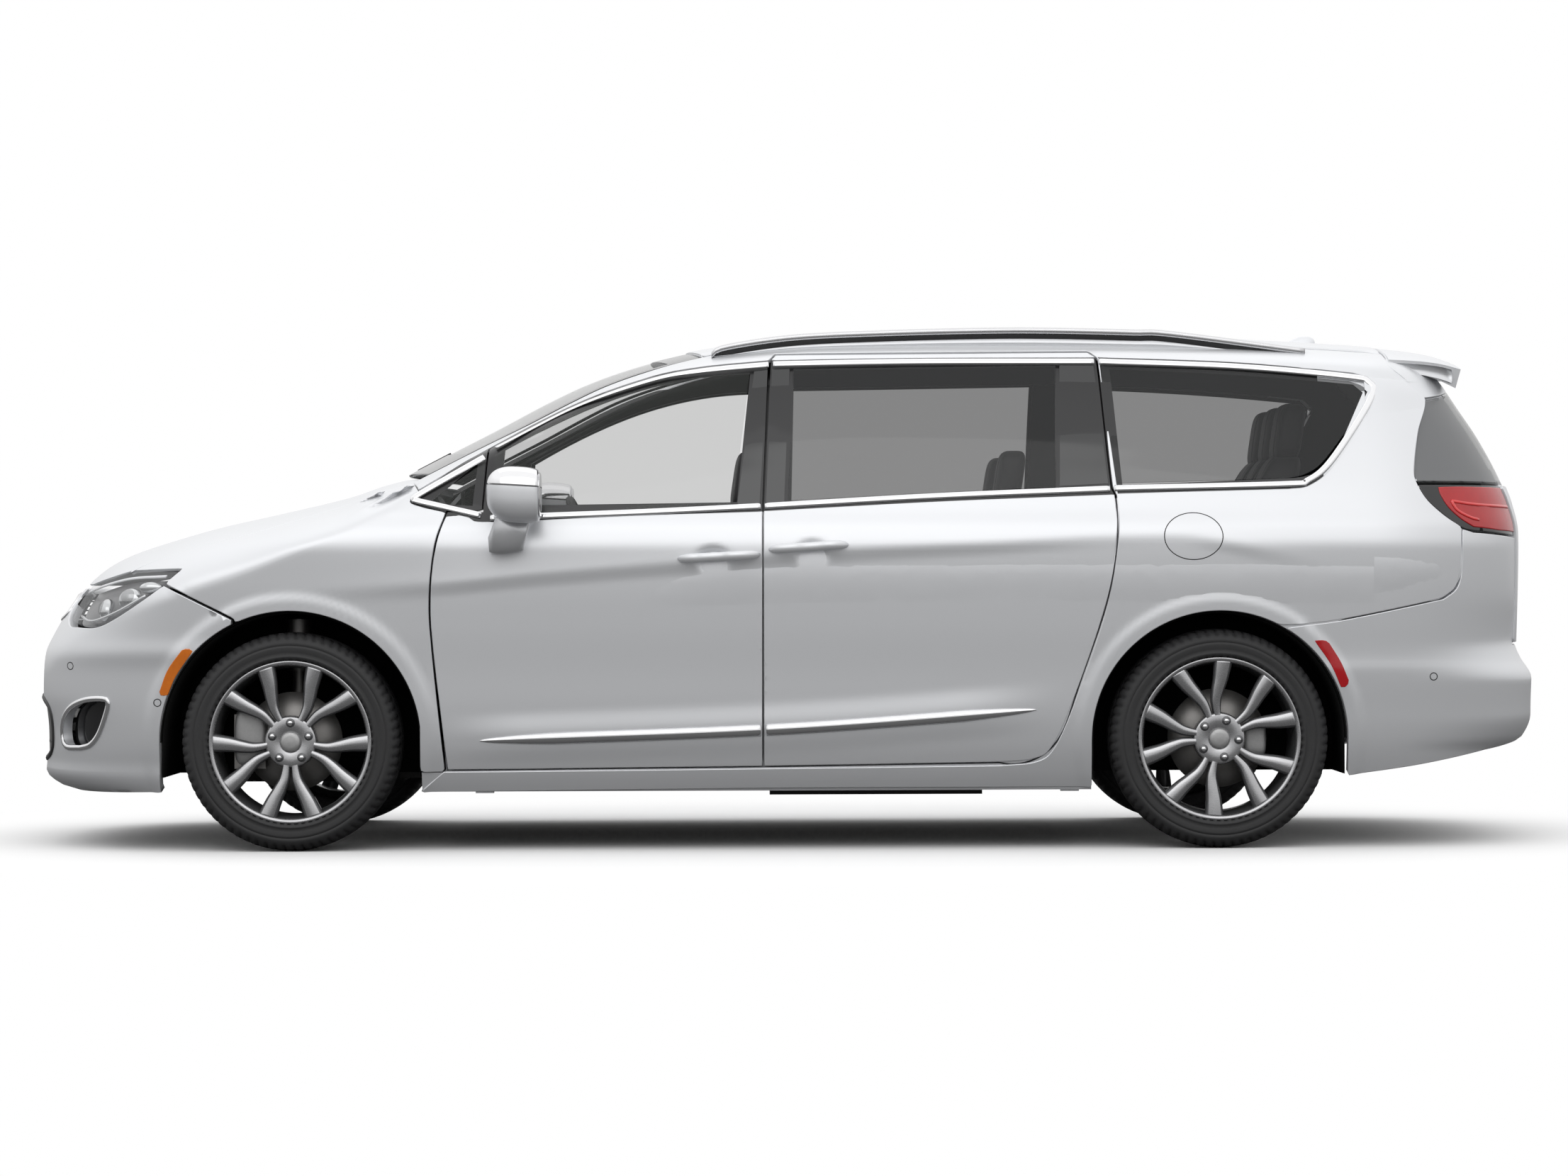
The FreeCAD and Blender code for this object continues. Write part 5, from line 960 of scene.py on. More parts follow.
def trim_line(name, surface, plane, profile, material, body, slot_name, closed=True, lift=0.002, pressed=flat,
              taper=None, both=False):
    """A moulding whose profile is carried along a line in a surface's coordinates."""
    points, normal = skin_points(surface, plane[:, 0], plane[:, 1], lift, pressed)
    part = carried(points, normal, profile, closed=closed, taper=taper)
    (pair if both else make)(name, [part], material, body, slot_name)


trim_line("upper_grille_rim", nose, upper_grille, rim_profile, chrome, "body", "rail_metal", pressed=nose_relief)
trim_line("lower_grille_rim", nose, lower_grille, rim_profile, black_plastic, "body", "black_plastic",
          pressed=nose_relief)
make("lower_grille_sheet", panel(nose, lower_grille, lift=-0.006, pressed=nose_relief), black_gloss, "body",
     "black_plastic")
trim_line("fog_rim", nose, fog_left, rim_profile, chrome, "body", "rail_metal", pressed=nose_relief, both=True)
pair("fog_recess", panel(nose, fog_left, lift=-0.045), black_gloss, "body", "black_plastic")

# Headlamps: dark bezel with reflectors behind a clear cover
lamp_side = metres(closed(
    [(-2.197, 0.930), (-2.019, 0.933)],
    [(-2.035, 0.915), (-2.065, 0.889), (-2.141, 0.837), (-2.229, 0.783), (-2.290, 0.758), (-2.341, 0.752),
     (-2.400, 0.762), (-2.416, 0.778), (-2.407, 0.800), (-2.395, 0.844), (-2.372, 0.887)]))
lamp_left = domain_loop(nose, lamp_side)
bezel = panel(nose, grown(lamp_left, -0.004), lift=-0.034, depth=0.002)
cover = panel(nose, lamp_left, lift=0.001, depth=0.030, radius=0.003)


def ball_at(x, z, size, sunk, power=2.0, count=18):
    """A small superellipsoid sunk below the nose surface at a side view place."""
    a, b = nose[1](np.array([x]), np.array([z]))
    points, normal = skin_points(nose, a, b, -sunk, flat)
    return rounded_box(points[0], size, power, count)


outer_lamp, inner_lamp, turn_lamp = (-2.300, 0.822), (-2.205, 0.862), (-2.120, 0.893)
lamp_parts = [ball_at(*outer_lamp, (0.050, 0.070, 0.062), 0.028),
              ball_at(*inner_lamp, (0.060, 0.050, 0.062), 0.028)]
lamp_bowls = [ball_at(*outer_lamp, (0.060, 0.100, 0.088), 0.042),
              ball_at(*inner_lamp, (0.090, 0.060, 0.084), 0.042),
              ball_at(*turn_lamp, (0.080, 0.030, 0.040), 0.022)]
glow = on_side(nose, curve([(-2.385, 0.868), (-2.300, 0.892), (-2.190, 0.914), (-2.060, 0.920)]), -0.006, flat)
glow_part = carried(*glow, [(-0.007, 0.0), (-0.004, 0.004), (0.004, 0.004), (0.007, 0.0), (0.0, -0.004)])
low_glow = on_side(nose, curve([(-2.385, 0.790), (-2.330, 0.772), (-2.235, 0.802), (-2.130, 0.858)]), -0.010, flat)
low_part = carried(*low_glow, [(-0.005, 0.0), (-0.003, 0.003), (0.003, 0.003), (0.005, 0.0), (0.0, -0.003)])
pairs(("lamp_bezel", bezel, lamp_dark, "body", "black_plastic", "headlamps"),
      ("lamp_lens", lamp_parts, clear_glass, "body", "lamp_clear"),
      ("lamp_reflector", lamp_bowls + [low_part], lamp_chrome, "body", "rail_metal"),
      ("lamp_light_bar", [glow_part], lamp_white, "body", "lamp_clear"),
      ("lamp_cover", cover, lamp_cover, "body", "lamp_clear"))


# Tail: liftgate skins, glass, spoiler, lamps and bumper

gate_half = 0.62 * body_half_width
shut_side = [(2.0430, 1.6400), (2.0530, 1.6100), (2.1010, 1.5660), (2.1680, 1.5030)]
pillar_side = [(2.1720, 1.4980), (2.1330, 1.3820), (2.1090, 1.2540), (2.1150, 1.2120)]


def line_at(surface, y0, z0, y1, z1, count=60):
    """Places on an end surface along a straight line of its rear view, on the left."""
    ys, zs = np.linspace(y0, y1, count), np.linspace(z0, z1, count)
    return np.array([(width_place(surface, y, z), z) for y, z in zip(ys, zs)])


def both_halves(edge, first, last, turn=(-1, 1)):
    """Closed loop from an edge on the left, joined to the middle line by places before it and after it."""
    return mirrored_half(closed_open([first + [edge[0]], edge, [edge[-1]] + last]), turn)


gate_low = both_halves(line_at(tail, gate_half, 1.205, gate_half, 0.677), [(0, 1.205)], [(0, 0.677)])
gate_glass = both_halves(in_domain(tail, [pillar_side]), [(0, 1.556), (-0.35, 1.552)], [(0, 1.211)])
gate_top = both_halves(in_domain(tail, [shut_side]), [(0, 1.640)], [(-0.35, 1.556), (0, 1.560)])


def gate_relief(points):
    """A shallow recess for the plate in the middle of the liftgate, edged by a smooth step all round."""
    y, z = points[..., 1], points[..., 2]
    away = np.maximum(np.abs(y) - 0.29, np.abs(z - 0.885) - 0.085)
    return 0.009 * step(away, -0.012, 0.020)


make("liftgate_skin", panel(tail, gate_low, pressed=gate_relief), silver_paint, "liftgate", "paint")
make("liftgate_top_skin", panel(tail, gate_top), silver_paint, "liftgate", "paint")
parts = panel(tail, gate_glass, lift=0.0015, radius=0.002, depth=0.008)
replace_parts(make("liftgate_glass", parts, dark_glass, "liftgate", "glass_dark"), "tailgate_glass")


def roof_z(x, y):
    """Height of the roof at a plan place, by repeated halving steps."""
    z = cabin_line(x)
    for _ in range(14):
        share = np.abs(y) / plain_width(x, z)
        z = (z + cabin_line(x) - cabin_drop(x) * (1 - rounding(share, shoulder_power))) / 2
    return z


def spoiler_part():
    """Blade over the liftgate: a section round its edge, carried across; its half width narrows to the lip, its
    upper side follows the roof, its under side lies 24 mm and more below."""
    across = np.linspace(-1, 1, 81)
    share = np.concatenate([np.linspace(0, 0.96, 20), [0.985, 1.0, 1.0, 0.985], np.linspace(0.96, 0, 20)])
    over = np.concatenate([np.zeros(21), [0.25, 0.75], np.ones(21)])
    front_x = 0.789 * half_length + 0.010
    lip_x = 0.892 * half_length
    u, w = np.meshgrid(share, across)
    under = np.repeat(over[None], 81, axis=0)
    x = front_x + (lip_x - front_x) * u - 0.030 * w ** 4 * u
    y = w * (0.665 - 0.045 * u) * body_half_width
    z = roof_z(x, y) + 0.003 - 0.012 * np.abs(w) ** 6 - under * (0.024 + 0.022 * u)
    return np.stack([x, y, z], axis=-1).reshape(-1, 3), [
        grid_faces(81, len(share), closed_columns=True), np.arange(len(share))[None, ::-1],
        (80 * len(share) + np.arange(len(share)))[None]]


def from_middle(centre):
    """Direction away from a centre, for facing."""
    return lambda places: places - np.array(centre)


make("spoiler", [facing(spoiler_part(), from_middle((2.17, 0, 1.66)))], silver_paint, "liftgate", "paint")



def lamp_outline(top, back_z, inner_y, under_z, low):
    """Closed outline of a tail lamp: side view run along its top, level to the inner edge, down, and back."""
    top, low = in_domain(tail, [top]), in_domain(tail, [low])
    back = line_at(tail, 0.80, back_z, inner_y, back_z)
    inner = line_at(tail, inner_y, back_z, inner_y, under_z[0], 20)
    under = line_at(tail, inner_y, under_z[0], 0.80, under_z[1])
    return closed_loop([top, link(top, back), back, inner, under, link(under, low), low])


surround = lamp_outline([(2.1150, 1.2060), (2.2500, 1.2060)], 1.206, gate_half + 0.006, (1.036, 1.044), [
    (2.3000, 1.0520), (2.2580, 1.0620), (2.2000, 1.1020), (2.1440, 1.1540), (2.1150, 1.2060)])
lens = lamp_outline([(2.1830, 1.1980), (2.2500, 1.2000)], 1.200, gate_half + 0.016, (1.050, 1.054), [
    (2.3000, 1.0640), (2.2560, 1.0900), (2.2150, 1.1280), (2.1900, 1.1700), (2.1830, 1.1980)])
bar = np.concatenate([in_domain(tail, [[(2.2250, 1.1500), (2.2800, 1.1420), (2.3200, 1.1380)]]),
                      line_at(tail, 0.80, 1.136, gate_half + 0.03, 1.134, 16)])
hook = in_domain(tail, [[(2.2250, 1.1500), (2.2450, 1.1180), (2.2900, 1.0950), (2.3200, 1.0880)]])
strips = []
for plane in (bar, hook):
    points, normal = skin_points(tail, plane[:, 0], plane[:, 1], 0.005, flat)
    strips.append(carried(points, normal, [(-0.006, 0.0), (-0.004, 0.003), (0.004, 0.003), (0.006, 0.0)]))
pairs(("tail_lamp_surround", panel(tail, surround), black_gloss, "body", "black_plastic", "tail_lamps"),
      ("tail_lamp_lens", panel(tail, lens, lift=0.005, radius=0.003, depth=0.006), red_lens, "body", "lamp_red"),
      ("tail_lamp_bar", strips, red_bright, "body", "lamp_red"))

shut_low = [(2.2600, 1.0580), (2.2500, 0.8890), (2.2020, 0.8320), (2.1390, 0.8140), (1.8570, 0.7570),
            (1.7250, 0.7395)]


def rear_bumper_loop():
    """Top edge under lamps and liftgate, side shut line, arch and bottom."""
    notch = line_at(rear_end, gate_half + 0.006, 0.668, gate_half + 0.006, 1.030, 30)
    back = line_at(rear_end, gate_half + 0.006, 1.030, 0.80, 1.038, 20)
    side = in_domain(rear_end, [[(2.3000, 1.0460), (2.2600, 1.0580)], shut_low,
                                [shut_low[-1], arch_arc(rear_axle_x, rear_arch_radius, 59.5, 0)[0]],
                                arch_arc(rear_axle_x, rear_arch_radius, 59.5, 0.0),
                                [(1.872, 0.364), (1.872, 0.240)],
                                [(1.872, 0.240), (2.100, 0.272), (2.350, 0.318)]])
    low = [side[-1], (-0.60, 0.338), (0, 0.340)]
    return mirrored_half(closed_open([[(0, 0.668), notch[0]], notch, back, link(back, side), side, low]), (-1, 1))


def rear_relief(points):
    """Arch lips and a soft ridge above the lower half of the bumper."""
    x, z = points[..., 0], points[..., 2]
    ridge = np.where(z > 0.60, np.exp(-(z - 0.60) / 0.03), 1 - step(0.60 - z, 0.0, 0.16))
    return arch_lips(x, z, (rear_axle_x, rear_arch_radius)) + 0.004 * ridge


parts = panel(rear_end, rear_bumper_loop(), pressed=rear_relief, depth=bumper_hem)
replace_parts(make("rear_bumper_skin", parts, silver_paint, "body", "paint"), "rear_bumper")


# Roof, windscreen border, side glass and bright trim

def roof_relief(points):
    """Shallow channels beside the rails."""
    y = np.abs(points[..., 1])
    return 0.004 - 0.004 * np.exp(-((y - 0.575) / 0.010) ** 2)


def hoop_loop(first, last, v):
    """Closed loop over the cabin between two sections, out to the place v of each section on both sides."""
    ss = np.arange(first * half_length, last * half_length, 0.02)
    left = np.stack(cabin[2](ss, np.full(len(ss), v)), axis=1)
    return both_halves(left, [(left[0][0], 0)], [(left[-1][0], 0)], (1, -1))


make("roof_skin", panel(cabin, hoop_loop(-0.1335, 0.787, 0.2985), pressed=roof_relief), silver_paint, "body", "paint")
screen_loop = hoop_loop(-0.5110, -0.1380, 0.2990)
clear_loop = hoop_loop(-0.4600, -0.1750, 0.2780)
parts = panel(cabin, screen_loop, lift=-0.0015, radius=0.001, depth=0.003)
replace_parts(make("windscreen_glass", parts, screen_glass, "body", "glass_clear"), "windscreen")
make("windscreen_border", panel(cabin, screen_loop, [clear_loop], lift=0.001, radius=0.001, depth=0.002), black_gloss,
     "body", "black_plastic")

pane_outlines = [
    ("corner_glass", clear_glass, "body", [[(-0.996, 1.296)], [(-1.006, 1.120)], [(-1.105, 1.139), (-1.192, 1.154)]]),
    ("front_glass", clear_glass, "door", [
        [(-0.936, 1.336), (-0.707, 1.458), (-0.452, 1.549), (-0.280, 1.582), (-0.112, 1.597)], [(-0.168, 1.147)],
        [(-0.500, 1.130), (-0.972, 1.117)], [(-0.966, 1.316)]]),
    ("front_pillar_panel", dark_panel, "door", [
        [(-0.052, 1.605)], [(-0.079, 1.152)], [(-0.155, 1.148)], [(-0.098, 1.600)]]),
    ("rear_pillar_panel", dark_panel, "body", [
        [(0.022, 1.608)], [(0.003, 1.156)], [(-0.060, 1.153)], [(-0.038, 1.606)]]),
    ("sliding_glass", dark_glass, "body", [
        [(0.918, 1.617)], [(0.906, 1.201)], [(0.500, 1.184), (0.014, 1.160)], [(0.034, 1.608)]]),
    ("slider_rear_panel", dark_panel, "body", [
        [(1.046, 1.616)], [(1.082, 1.212)], [(0.918, 1.204)], [(0.930, 1.617)]]),
    ("quarter_glass", dark_glass, "body", [
        [(1.529, 1.594), (1.905, 1.559)],
        [(1.950, 1.542), (1.965, 1.512), (1.930, 1.450), (1.806, 1.290), (1.738, 1.242), (1.675, 1.228)],
        [(1.106, 1.214)], [(1.070, 1.614)]]),
]
stands_for = {"front_glass": "front_door_glass_", "sliding_glass": "sliding_door_glass",
              "quarter_glass": "fixed_side_glass"}
for name, material, body, runs in pane_outlines:
    parts = panel(cabin, domain_loop(cabin, metres(closed(*runs))), lift=0.0018, radius=0.0015, depth=0.0035)
    pair(name, parts, material, body, "glass_dark" if material is dark_glass else "glass_clear", stands_for.get(name))


def shifted(run, distance):
    """An open line moved sideways, to its right for a distance above zero."""
    line = curve(run)
    along = np.gradient(line, axis=0)
    along /= np.linalg.norm(along, axis=1, keepdims=True)
    return line + distance * np.stack([along[:, 1], -along[:, 0]], axis=1)


bright_profile = [(-0.0115, 0.0), (-0.0105, 0.0025), (-0.004, 0.0045), (0.004, 0.0045), (0.0105, 0.0025),
                  (0.0115, 0.0), (0.0, -0.003)]
bright_runs = [
    ("corner_trim", "body", shifted([(-1.006, 1.320), (-1.219, 1.1950), (-1.2410, 1.1750), (-1.2380, 1.1570),
                                     (-1.119, 1.1280), (-1.008, 1.1020)], -0.012)),
    ("door_top_trim", "door", shifted([(-0.968, 1.351), (-0.707, 1.488), (-0.452, 1.579), (-0.280, 1.612),
                                       (-0.050, 1.633)], 0.012)),
    ("door_belt_trim", "door", shifted([(-0.974, 1.094), (-0.500, 1.110), (-0.076, 1.129)], -0.012)),
    ("slider_top_trim", "body", shifted([(-0.034, 1.6345), (0.440, 1.6410), (1.048, 1.6400)], 0.012)),
    ("slider_belt_trim", "body", shifted([(-0.062, 1.1295), (0.500, 1.1600), (1.086, 1.1830)], -0.012)),
    ("quarter_trim", "body", shifted([(1.066, 1.640), (1.529, 1.6210), (1.920, 1.5840), (1.979, 1.5640),
                                      (1.998, 1.5300), (1.960, 1.4500), (1.832, 1.2730), (1.750, 1.2090),
                                      (1.681, 1.1970), (1.102, 1.1845)], 0.012)),
]
for name, body, line in bright_runs:
    trim_line(name, cabin, domain_loop(cabin, line), bright_profile, chrome, body, "rail_metal", closed=False,
              lift=0.0035, both=True)


moulding_front, moulding_rear, moulding_tip = -1.012, 0.835, 0.24


def moulding_taper(first, last):
    """Thickness along the moulding: a root of the distance from both tips, one over most of it."""
    def taper(t):
        """Thickness at a share of the moulding's length."""
        x = first + (last - first) * t
        ends = np.clip(np.stack([x - moulding_front, moulding_rear - x]) / moulding_tip, 0.02, 1)
        return np.sqrt(ends[0]) * np.sqrt(ends[1])
    return taper


moulding_profile = [(-0.0205, 0.0), (-0.017, 0.007), (-0.004, 0.013), (0.006, 0.013), (0.017, 0.006),
                    (0.0205, 0.0), (0.0, -0.004)]
for name, body, first, last in (("door_moulding", "door", moulding_front, -0.079),
                                ("slider_moulding", "body", -0.060, moulding_rear)):
    xs = np.linspace(first, last, 90)
    plane = domain_loop(cabin, np.stack([xs, moulding_line(xs)], axis=1))
    trim_line(name, cabin, plane, moulding_profile, chrome, body, "rail_metal", closed=False, pressed=relief,
              taper=moulding_taper(first, last), both=True)

# The groove profile is a thin raised black strip: painted shade that stands in for the dark gap round the fuel flap
# and round each sensor.
groove = [(-0.0016, 0.0), (-0.0010, 0.0008), (0.0010, 0.0008), (0.0016, 0.0)]
turn = np.linspace(0, 2 * np.pi, 90, endpoint=False)
fuel_loop = np.stack([1.358 + 0.097 * np.cos(turn), 1.036 + 0.077 * np.sin(turn)], axis=1)
trim_line("fuel_flap_gap", cabin, domain_loop(cabin, fuel_loop), groove, seal_rubber, "body", "black_plastic",
          lift=0.002, pressed=relief)

marker_side = metres(closed([(-1.978, 0.678), (-1.999, 0.672)], [(-2.048, 0.605), (-2.076, 0.533)],
                            [(-2.070, 0.520), (-2.048, 0.522)], [(-2.020, 0.585), (-1.962, 0.668)]))
red_side = metres(closed([(1.792, 0.690), (1.808, 0.680)], [(1.845, 0.620), (1.872, 0.558)],
                         [(1.866, 0.537), (1.846, 0.534)], [(1.812, 0.610), (1.757, 0.690)]))
for name, surface, loop, material, form in (("front_marker", nose, marker_side, amber, nose_relief),
                                            ("rear_marker", rear_end, red_side, red_lens, rear_relief)):
    parts = panel(surface, domain_loop(surface, loop), pressed=form, lift=0.004, radius=0.002, depth=0.004)
    pair(name, parts, material, "body", "lamp_red")


def handle_part(first, last, z0, z1):
    """Pull bar along the door: an oval section whose distance from the skin rises from each end, with flat ends."""
    xs = np.linspace(first, last, 60)
    line = np.stack([xs, np.linspace(z0, z1, 60)], axis=1)
    points, normal = on_side(cabin, line, 0.0, relief)
    t = np.linspace(-1, 1, 60)
    stand = 0.004 + 0.026 * (1 - np.abs(t) ** 4)
    path = points + normal * stand[:, None]
    angles = np.linspace(0, 2 * np.pi, 16, endpoint=False)
    oval = np.stack([0.015 * np.cos(angles), 0.009 * np.sin(angles)], axis=1)
    return carried(path, normal, oval, taper=lambda s: np.sqrt(np.clip(1 - np.abs(2 * s - 1) ** 8, 0.05, 1)))


for name, body, sizes in (("front_handle", "door", (-0.352, -0.078, 0.968, 0.982)),
                          ("slider_handle", "body", (-0.050, 0.214, 0.998, 1.012))):
    pair(name, [handle_part(*sizes)], silver_paint, body, "paint")


# Closed forms

def solid_part(part):
    """The closed part with its faces outwards, by the sign of the volume that they enclose."""
    points, blocks = part
    volume = 0.0
    for block in blocks:
        first = points[block[:, 0]]
        for k in range(1, block.shape[1] - 1):
            volume += (first * np.cross(points[block[:, k]], points[block[:, k + 1]])).sum()
    return (points, blocks) if volume > 0 else (points, [block[:, ::-1] for block in blocks])


def moved(part, offset):
    """The part shifted by an offset."""
    return part[0] + np.array(offset), part[1]


def tube_of(rows):
    """Closed sections, one a row, joined into a tube with flat ends."""
    rows = np.asarray(rows)
    count, around = rows.shape[:2]
    ends = [np.arange(around)[None, ::-1], (count - 1) * around + np.arange(around)[None]]
    return solid_part((rows.reshape(-1, 3), [grid_faces(count, around, closed_columns=True)] + ends))


def prism(loop, y0, y1):
    """A side view outline pushed across from y0 to y1, closed by flat ends."""
    return tube_of([np.stack([loop[:, 0], np.full(len(loop), y), loop[:, 1]], axis=1) for y in (y0, y1)])


def band(path, y0, y1, thick):
    """A thin strip across the vehicle along a side view path, thickened to the left of the path."""
    along = np.gradient(path, axis=0)
    along /= np.linalg.norm(along, axis=1, keepdims=True)
    inner = path + thick * np.stack([-along[:, 1], along[:, 0]], axis=1)
    corners = [(path, y0), (path, y1), (inner, y1), (inner, y0)]
    return tube_of(np.stack([np.stack([line[:, 0], np.full(len(line), y), line[:, 1]], axis=1)
                             for line, y in corners], axis=1))


def ring(profile, count=120, ripple=None):
    """A profile of (radius, y) pairs turned about the wheel axis and closed."""
    return solid_part(revolved(profile, count, ripple))


# Wheels, about the middle of the left wheel: y grows inwards, angles run from +X to +Z

tyre_side = [
    (0.2605, -0.0962), (0.2713, -0.0968), (0.2735, -0.1080), (0.2770, -0.1170), (0.2830, -0.1200), (0.2870, -0.1196),
    (0.2880, -0.1184), (0.2990, -0.1212), (0.3120, -0.1225), (0.3180, -0.1222), (0.3190, -0.1208), (0.3215, -0.1208),
    (0.3225, -0.1218), (0.3320, -0.1198), (0.3420, -0.1150), (0.3500, -0.1085), (0.3560, -0.1000), (0.3602, -0.0900),
    (0.3622, -0.0800), (0.3630, -0.0630), (0.3555, -0.0615), (0.3555, -0.0525), (0.3636, -0.0510), (0.3640, -0.0300),
    (0.3560, -0.0285), (0.3560, -0.0175), (0.3640, -0.0160),
]


def tread(angle, y):
    """Depth of the cuts: one sample in five, deep at the shoulders and shallow in the ribs."""
    far = np.abs(y)
    cut = np.cos(72 * angle + 40 * far) > 0.6
    return cut * (0.0060 * ((far > 0.070) & (far < 0.112)) + 0.0025 * ((far > 0.020) & (far < 0.052)))


tyre_part = ring(tyre_side + [(r, -y) for r, y in reversed(tyre_side)] + tyre_side[:1], 360, tread)
lip_part = ring([(0.2600, -0.0960), (0.2712, -0.0968), (0.2712, -0.1085), (0.2690, -0.1102), (0.2640, -0.1100),
                 (0.2590, -0.1075), (0.2555, -0.1020), (0.2545, -0.0940), (0.2600, -0.0960)], 180)
barrel_part = ring([(0.2545, -0.0960), (0.2500, -0.0700), (0.2460, -0.0300), (0.2440, 0.0600), (0.2500, 0.0960),
                    (0.2700, 0.1040), (0.2700, 0.1085), (0.2712, 0.0968), (0.2602, 0.0955), (0.2602, -0.0950),
                    (0.2545, -0.0960)])
hub_part = ring([(0.0, -0.0965), (0.0360, -0.0965), (0.0400, -0.0990), (0.0780, -0.0990), (0.0830, -0.0970),
                 (0.0860, -0.0900), (0.0880, -0.0650), (0.0, -0.0650)])
cap_part = ring([(0.0, -0.1085), (0.0180, -0.1080), (0.0280, -0.1062), (0.0330, -0.1030), (0.0345, -0.0960),
                 (0.0, -0.0960)])
brake_parts = [
    ring([(0.0560, -0.0180), (0.1650, -0.0180), (0.1650, -0.0040), (0.0560, -0.0040), (0.0560, -0.0180)]),
    ring([(0.0, -0.0640), (0.0740, -0.0640), (0.0780, -0.0600), (0.0800, -0.0160), (0.0, -0.0160)]),
]
nut_circle = 0.0635
nut_part = ring([(0.0, -0.1115), (0.0055, -0.1110), (0.0095, -0.1085), (0.0100, -0.0985), (0.0, -0.0985)], 6)
nut_seat = ring([(0.0, -0.0993), (0.0150, -0.0993), (0.0156, -0.0980), (0.0, -0.0980)], 32)
blade_offset = smooth([(0.040, 0.0125), (0.080, 0.0145), (0.120, 0.0200), (0.160, 0.0360), (0.200, 0.0555),
                       (0.260, 0.0800)], 1, 1)
blade_width = smooth([(0.040, 0.0110), (0.080, 0.0125), (0.120, 0.0165), (0.160, 0.0215), (0.200, 0.0255),
                      (0.260, 0.0310)], 1, 1)
blade_section = np.array([(-1.0, 0.032), (-1.0, 0.010), (-0.70, 0.0), (0.70, 0.0), (1.0, 0.010), (1.0, 0.032)])


def blade(side, turn):
    """One blade of a pair, in polar places: its middle runs beside the pair's axis and flares out to the rim, its
    section has a flat face, chamfers and straight sides."""
    r = np.concatenate([np.linspace(0.040, 0.200, 20), np.linspace(0.206, 0.2600, 10)])
    beside = side * blade_offset(r)[:, None] + blade_width(r)[:, None] * blade_section[None, :, 0]
    angle = turn + beside / r[:, None]
    y = -0.0985 - 0.0075 * step(r, 0.05, 0.25)[:, None] + blade_section[None, :, 1]
    rows = np.stack([r[:, None] * np.cos(angle), y, r[:, None] * np.sin(angle)], axis=-1)
    points, blocks = tube_of(rows)
    quads = blocks[0].reshape(len(r) - 1, len(blade_section), 4)
    return points, [quads[:, 2], quads[:, [0, 1, 3, 4, 5]].reshape(-1, 4)] + blocks[1:]


def wheel(name, axle_x, first, mirror):
    """All pieces of one wheel; first is the angle of the first nut, the pairs stand between the nuts."""
    def add(word, parts, material, slot_name, marks=None):
        placed = [moved(part, (axle_x, -half_track, axle_height)) for part in parts]
        return make(word + "_" + name, placed, material, "wheel_" + name, slot_name, mirror=mirror, marks=marks)

    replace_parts(add("tyre_tread", [tyre_part], tyre_rubber, "tyre"), "tyre_" + name)
    blades = [blade(side, math.radians(first + 180 + 72 * k)) for k in range(5) for side in (-1, 1)]
    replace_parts(add("rim_blades", blades, [machined, pocket_grey], "rim_alloy", [0, 1, 1, 1] * len(blades)),
                "rim_" + name)
    add("rim_lip", [lip_part, hub_part], machined, "rim_alloy")
    add("rim_barrel", [barrel_part], pocket_grey, "rim_alloy")
    add("rim_cap", [cap_part], cast_alloy, "rim_alloy")
    add("brake_disc", brake_parts, iron, "steel")
    places = [(nut_circle * math.cos(angle), 0, nut_circle * math.sin(angle))
              for angle in (math.radians(first + 72 * k) for k in range(5))]
    add("wheel_nuts", [moved(nut_part, place) for place in places], chrome, "rail_metal")
    add("nut_seats", [moved(nut_seat, place) for place in places], pocket_grey, "rim_alloy")


for name, axle_x, first in (("front", front_axle_x, 90.0), ("rear", rear_axle_x, 68.5)):
    wheel(name + "_left", axle_x, first, False)
    wheel(name + "_right", axle_x, first, True)

# Calipers, arch linings
caliper_y = -half_track - 0.012
front_caliper = rounded_box((front_axle_x - 0.142, caliper_y, axle_height + 0.012), (0.112, 0.056, 0.200), 4)
rear_caliper = rounded_box((rear_axle_x + 0.124, caliper_y, axle_height), (0.080, 0.050, 0.130), 4)
arch_rows = []
for word, axle_x, radius, inner in (("front", front_axle_x, front_arch_radius, 0.528),
                                    ("rear", rear_axle_x, rear_arch_radius, 0.614)):
    arc = np.array(arch_arc(axle_x, radius - 0.0060, 0, 180, 64))
    path = np.concatenate([[[arc[0, 0], 0.245]], arc, [[arc[-1, 0], 0.245]]])
    lining = [band(path, -0.925, -inner, 0.003), prism(path, -inner, 0.004 - inner)]
    arch_rows.append((word + "_arch_lining", lining, liner_felt, "body", "black_plastic"))
pairs(("front_caliper", [solid_part(front_caliper)], cast_alloy, "steer", "steel"),
      ("rear_caliper", [solid_part(rear_caliper)], cast_alloy, "body", "steel"), *arch_rows)

# Roof rails and the aerial fin
rail_top = curve([(-0.243, 1.672), (-0.197, 1.698), (0.034, 1.731), (0.350, 1.745), (0.699, 1.752), (0.922, 1.751),
                  (1.186, 1.744), (1.318, 1.738), (1.770, 1.678)], 0.02)
rail_path = np.stack([rail_top[:, 0], np.full(len(rail_top), -0.655), rail_top[:, 1] - 0.0120], axis=1)
t = np.linspace(0, 2 * np.pi, 20, endpoint=False)
rail_oval = np.stack([0.0165 * power_of(np.cos(t), 0.6), 0.0115 * power_of(np.sin(t), 0.6)], axis=1)
rail_part = solid_part(carried(rail_path, np.tile((0.0, 0.0, 1.0), (len(rail_path), 1)), rail_oval))
rail_floor = np.minimum(roof_z(rail_path[:, 0], np.full(len(rail_path), 0.655)) - 0.006, rail_path[:, 2] - 0.002)
rail_step = np.maximum(rail_floor, rail_path[:, 2] - 0.028)


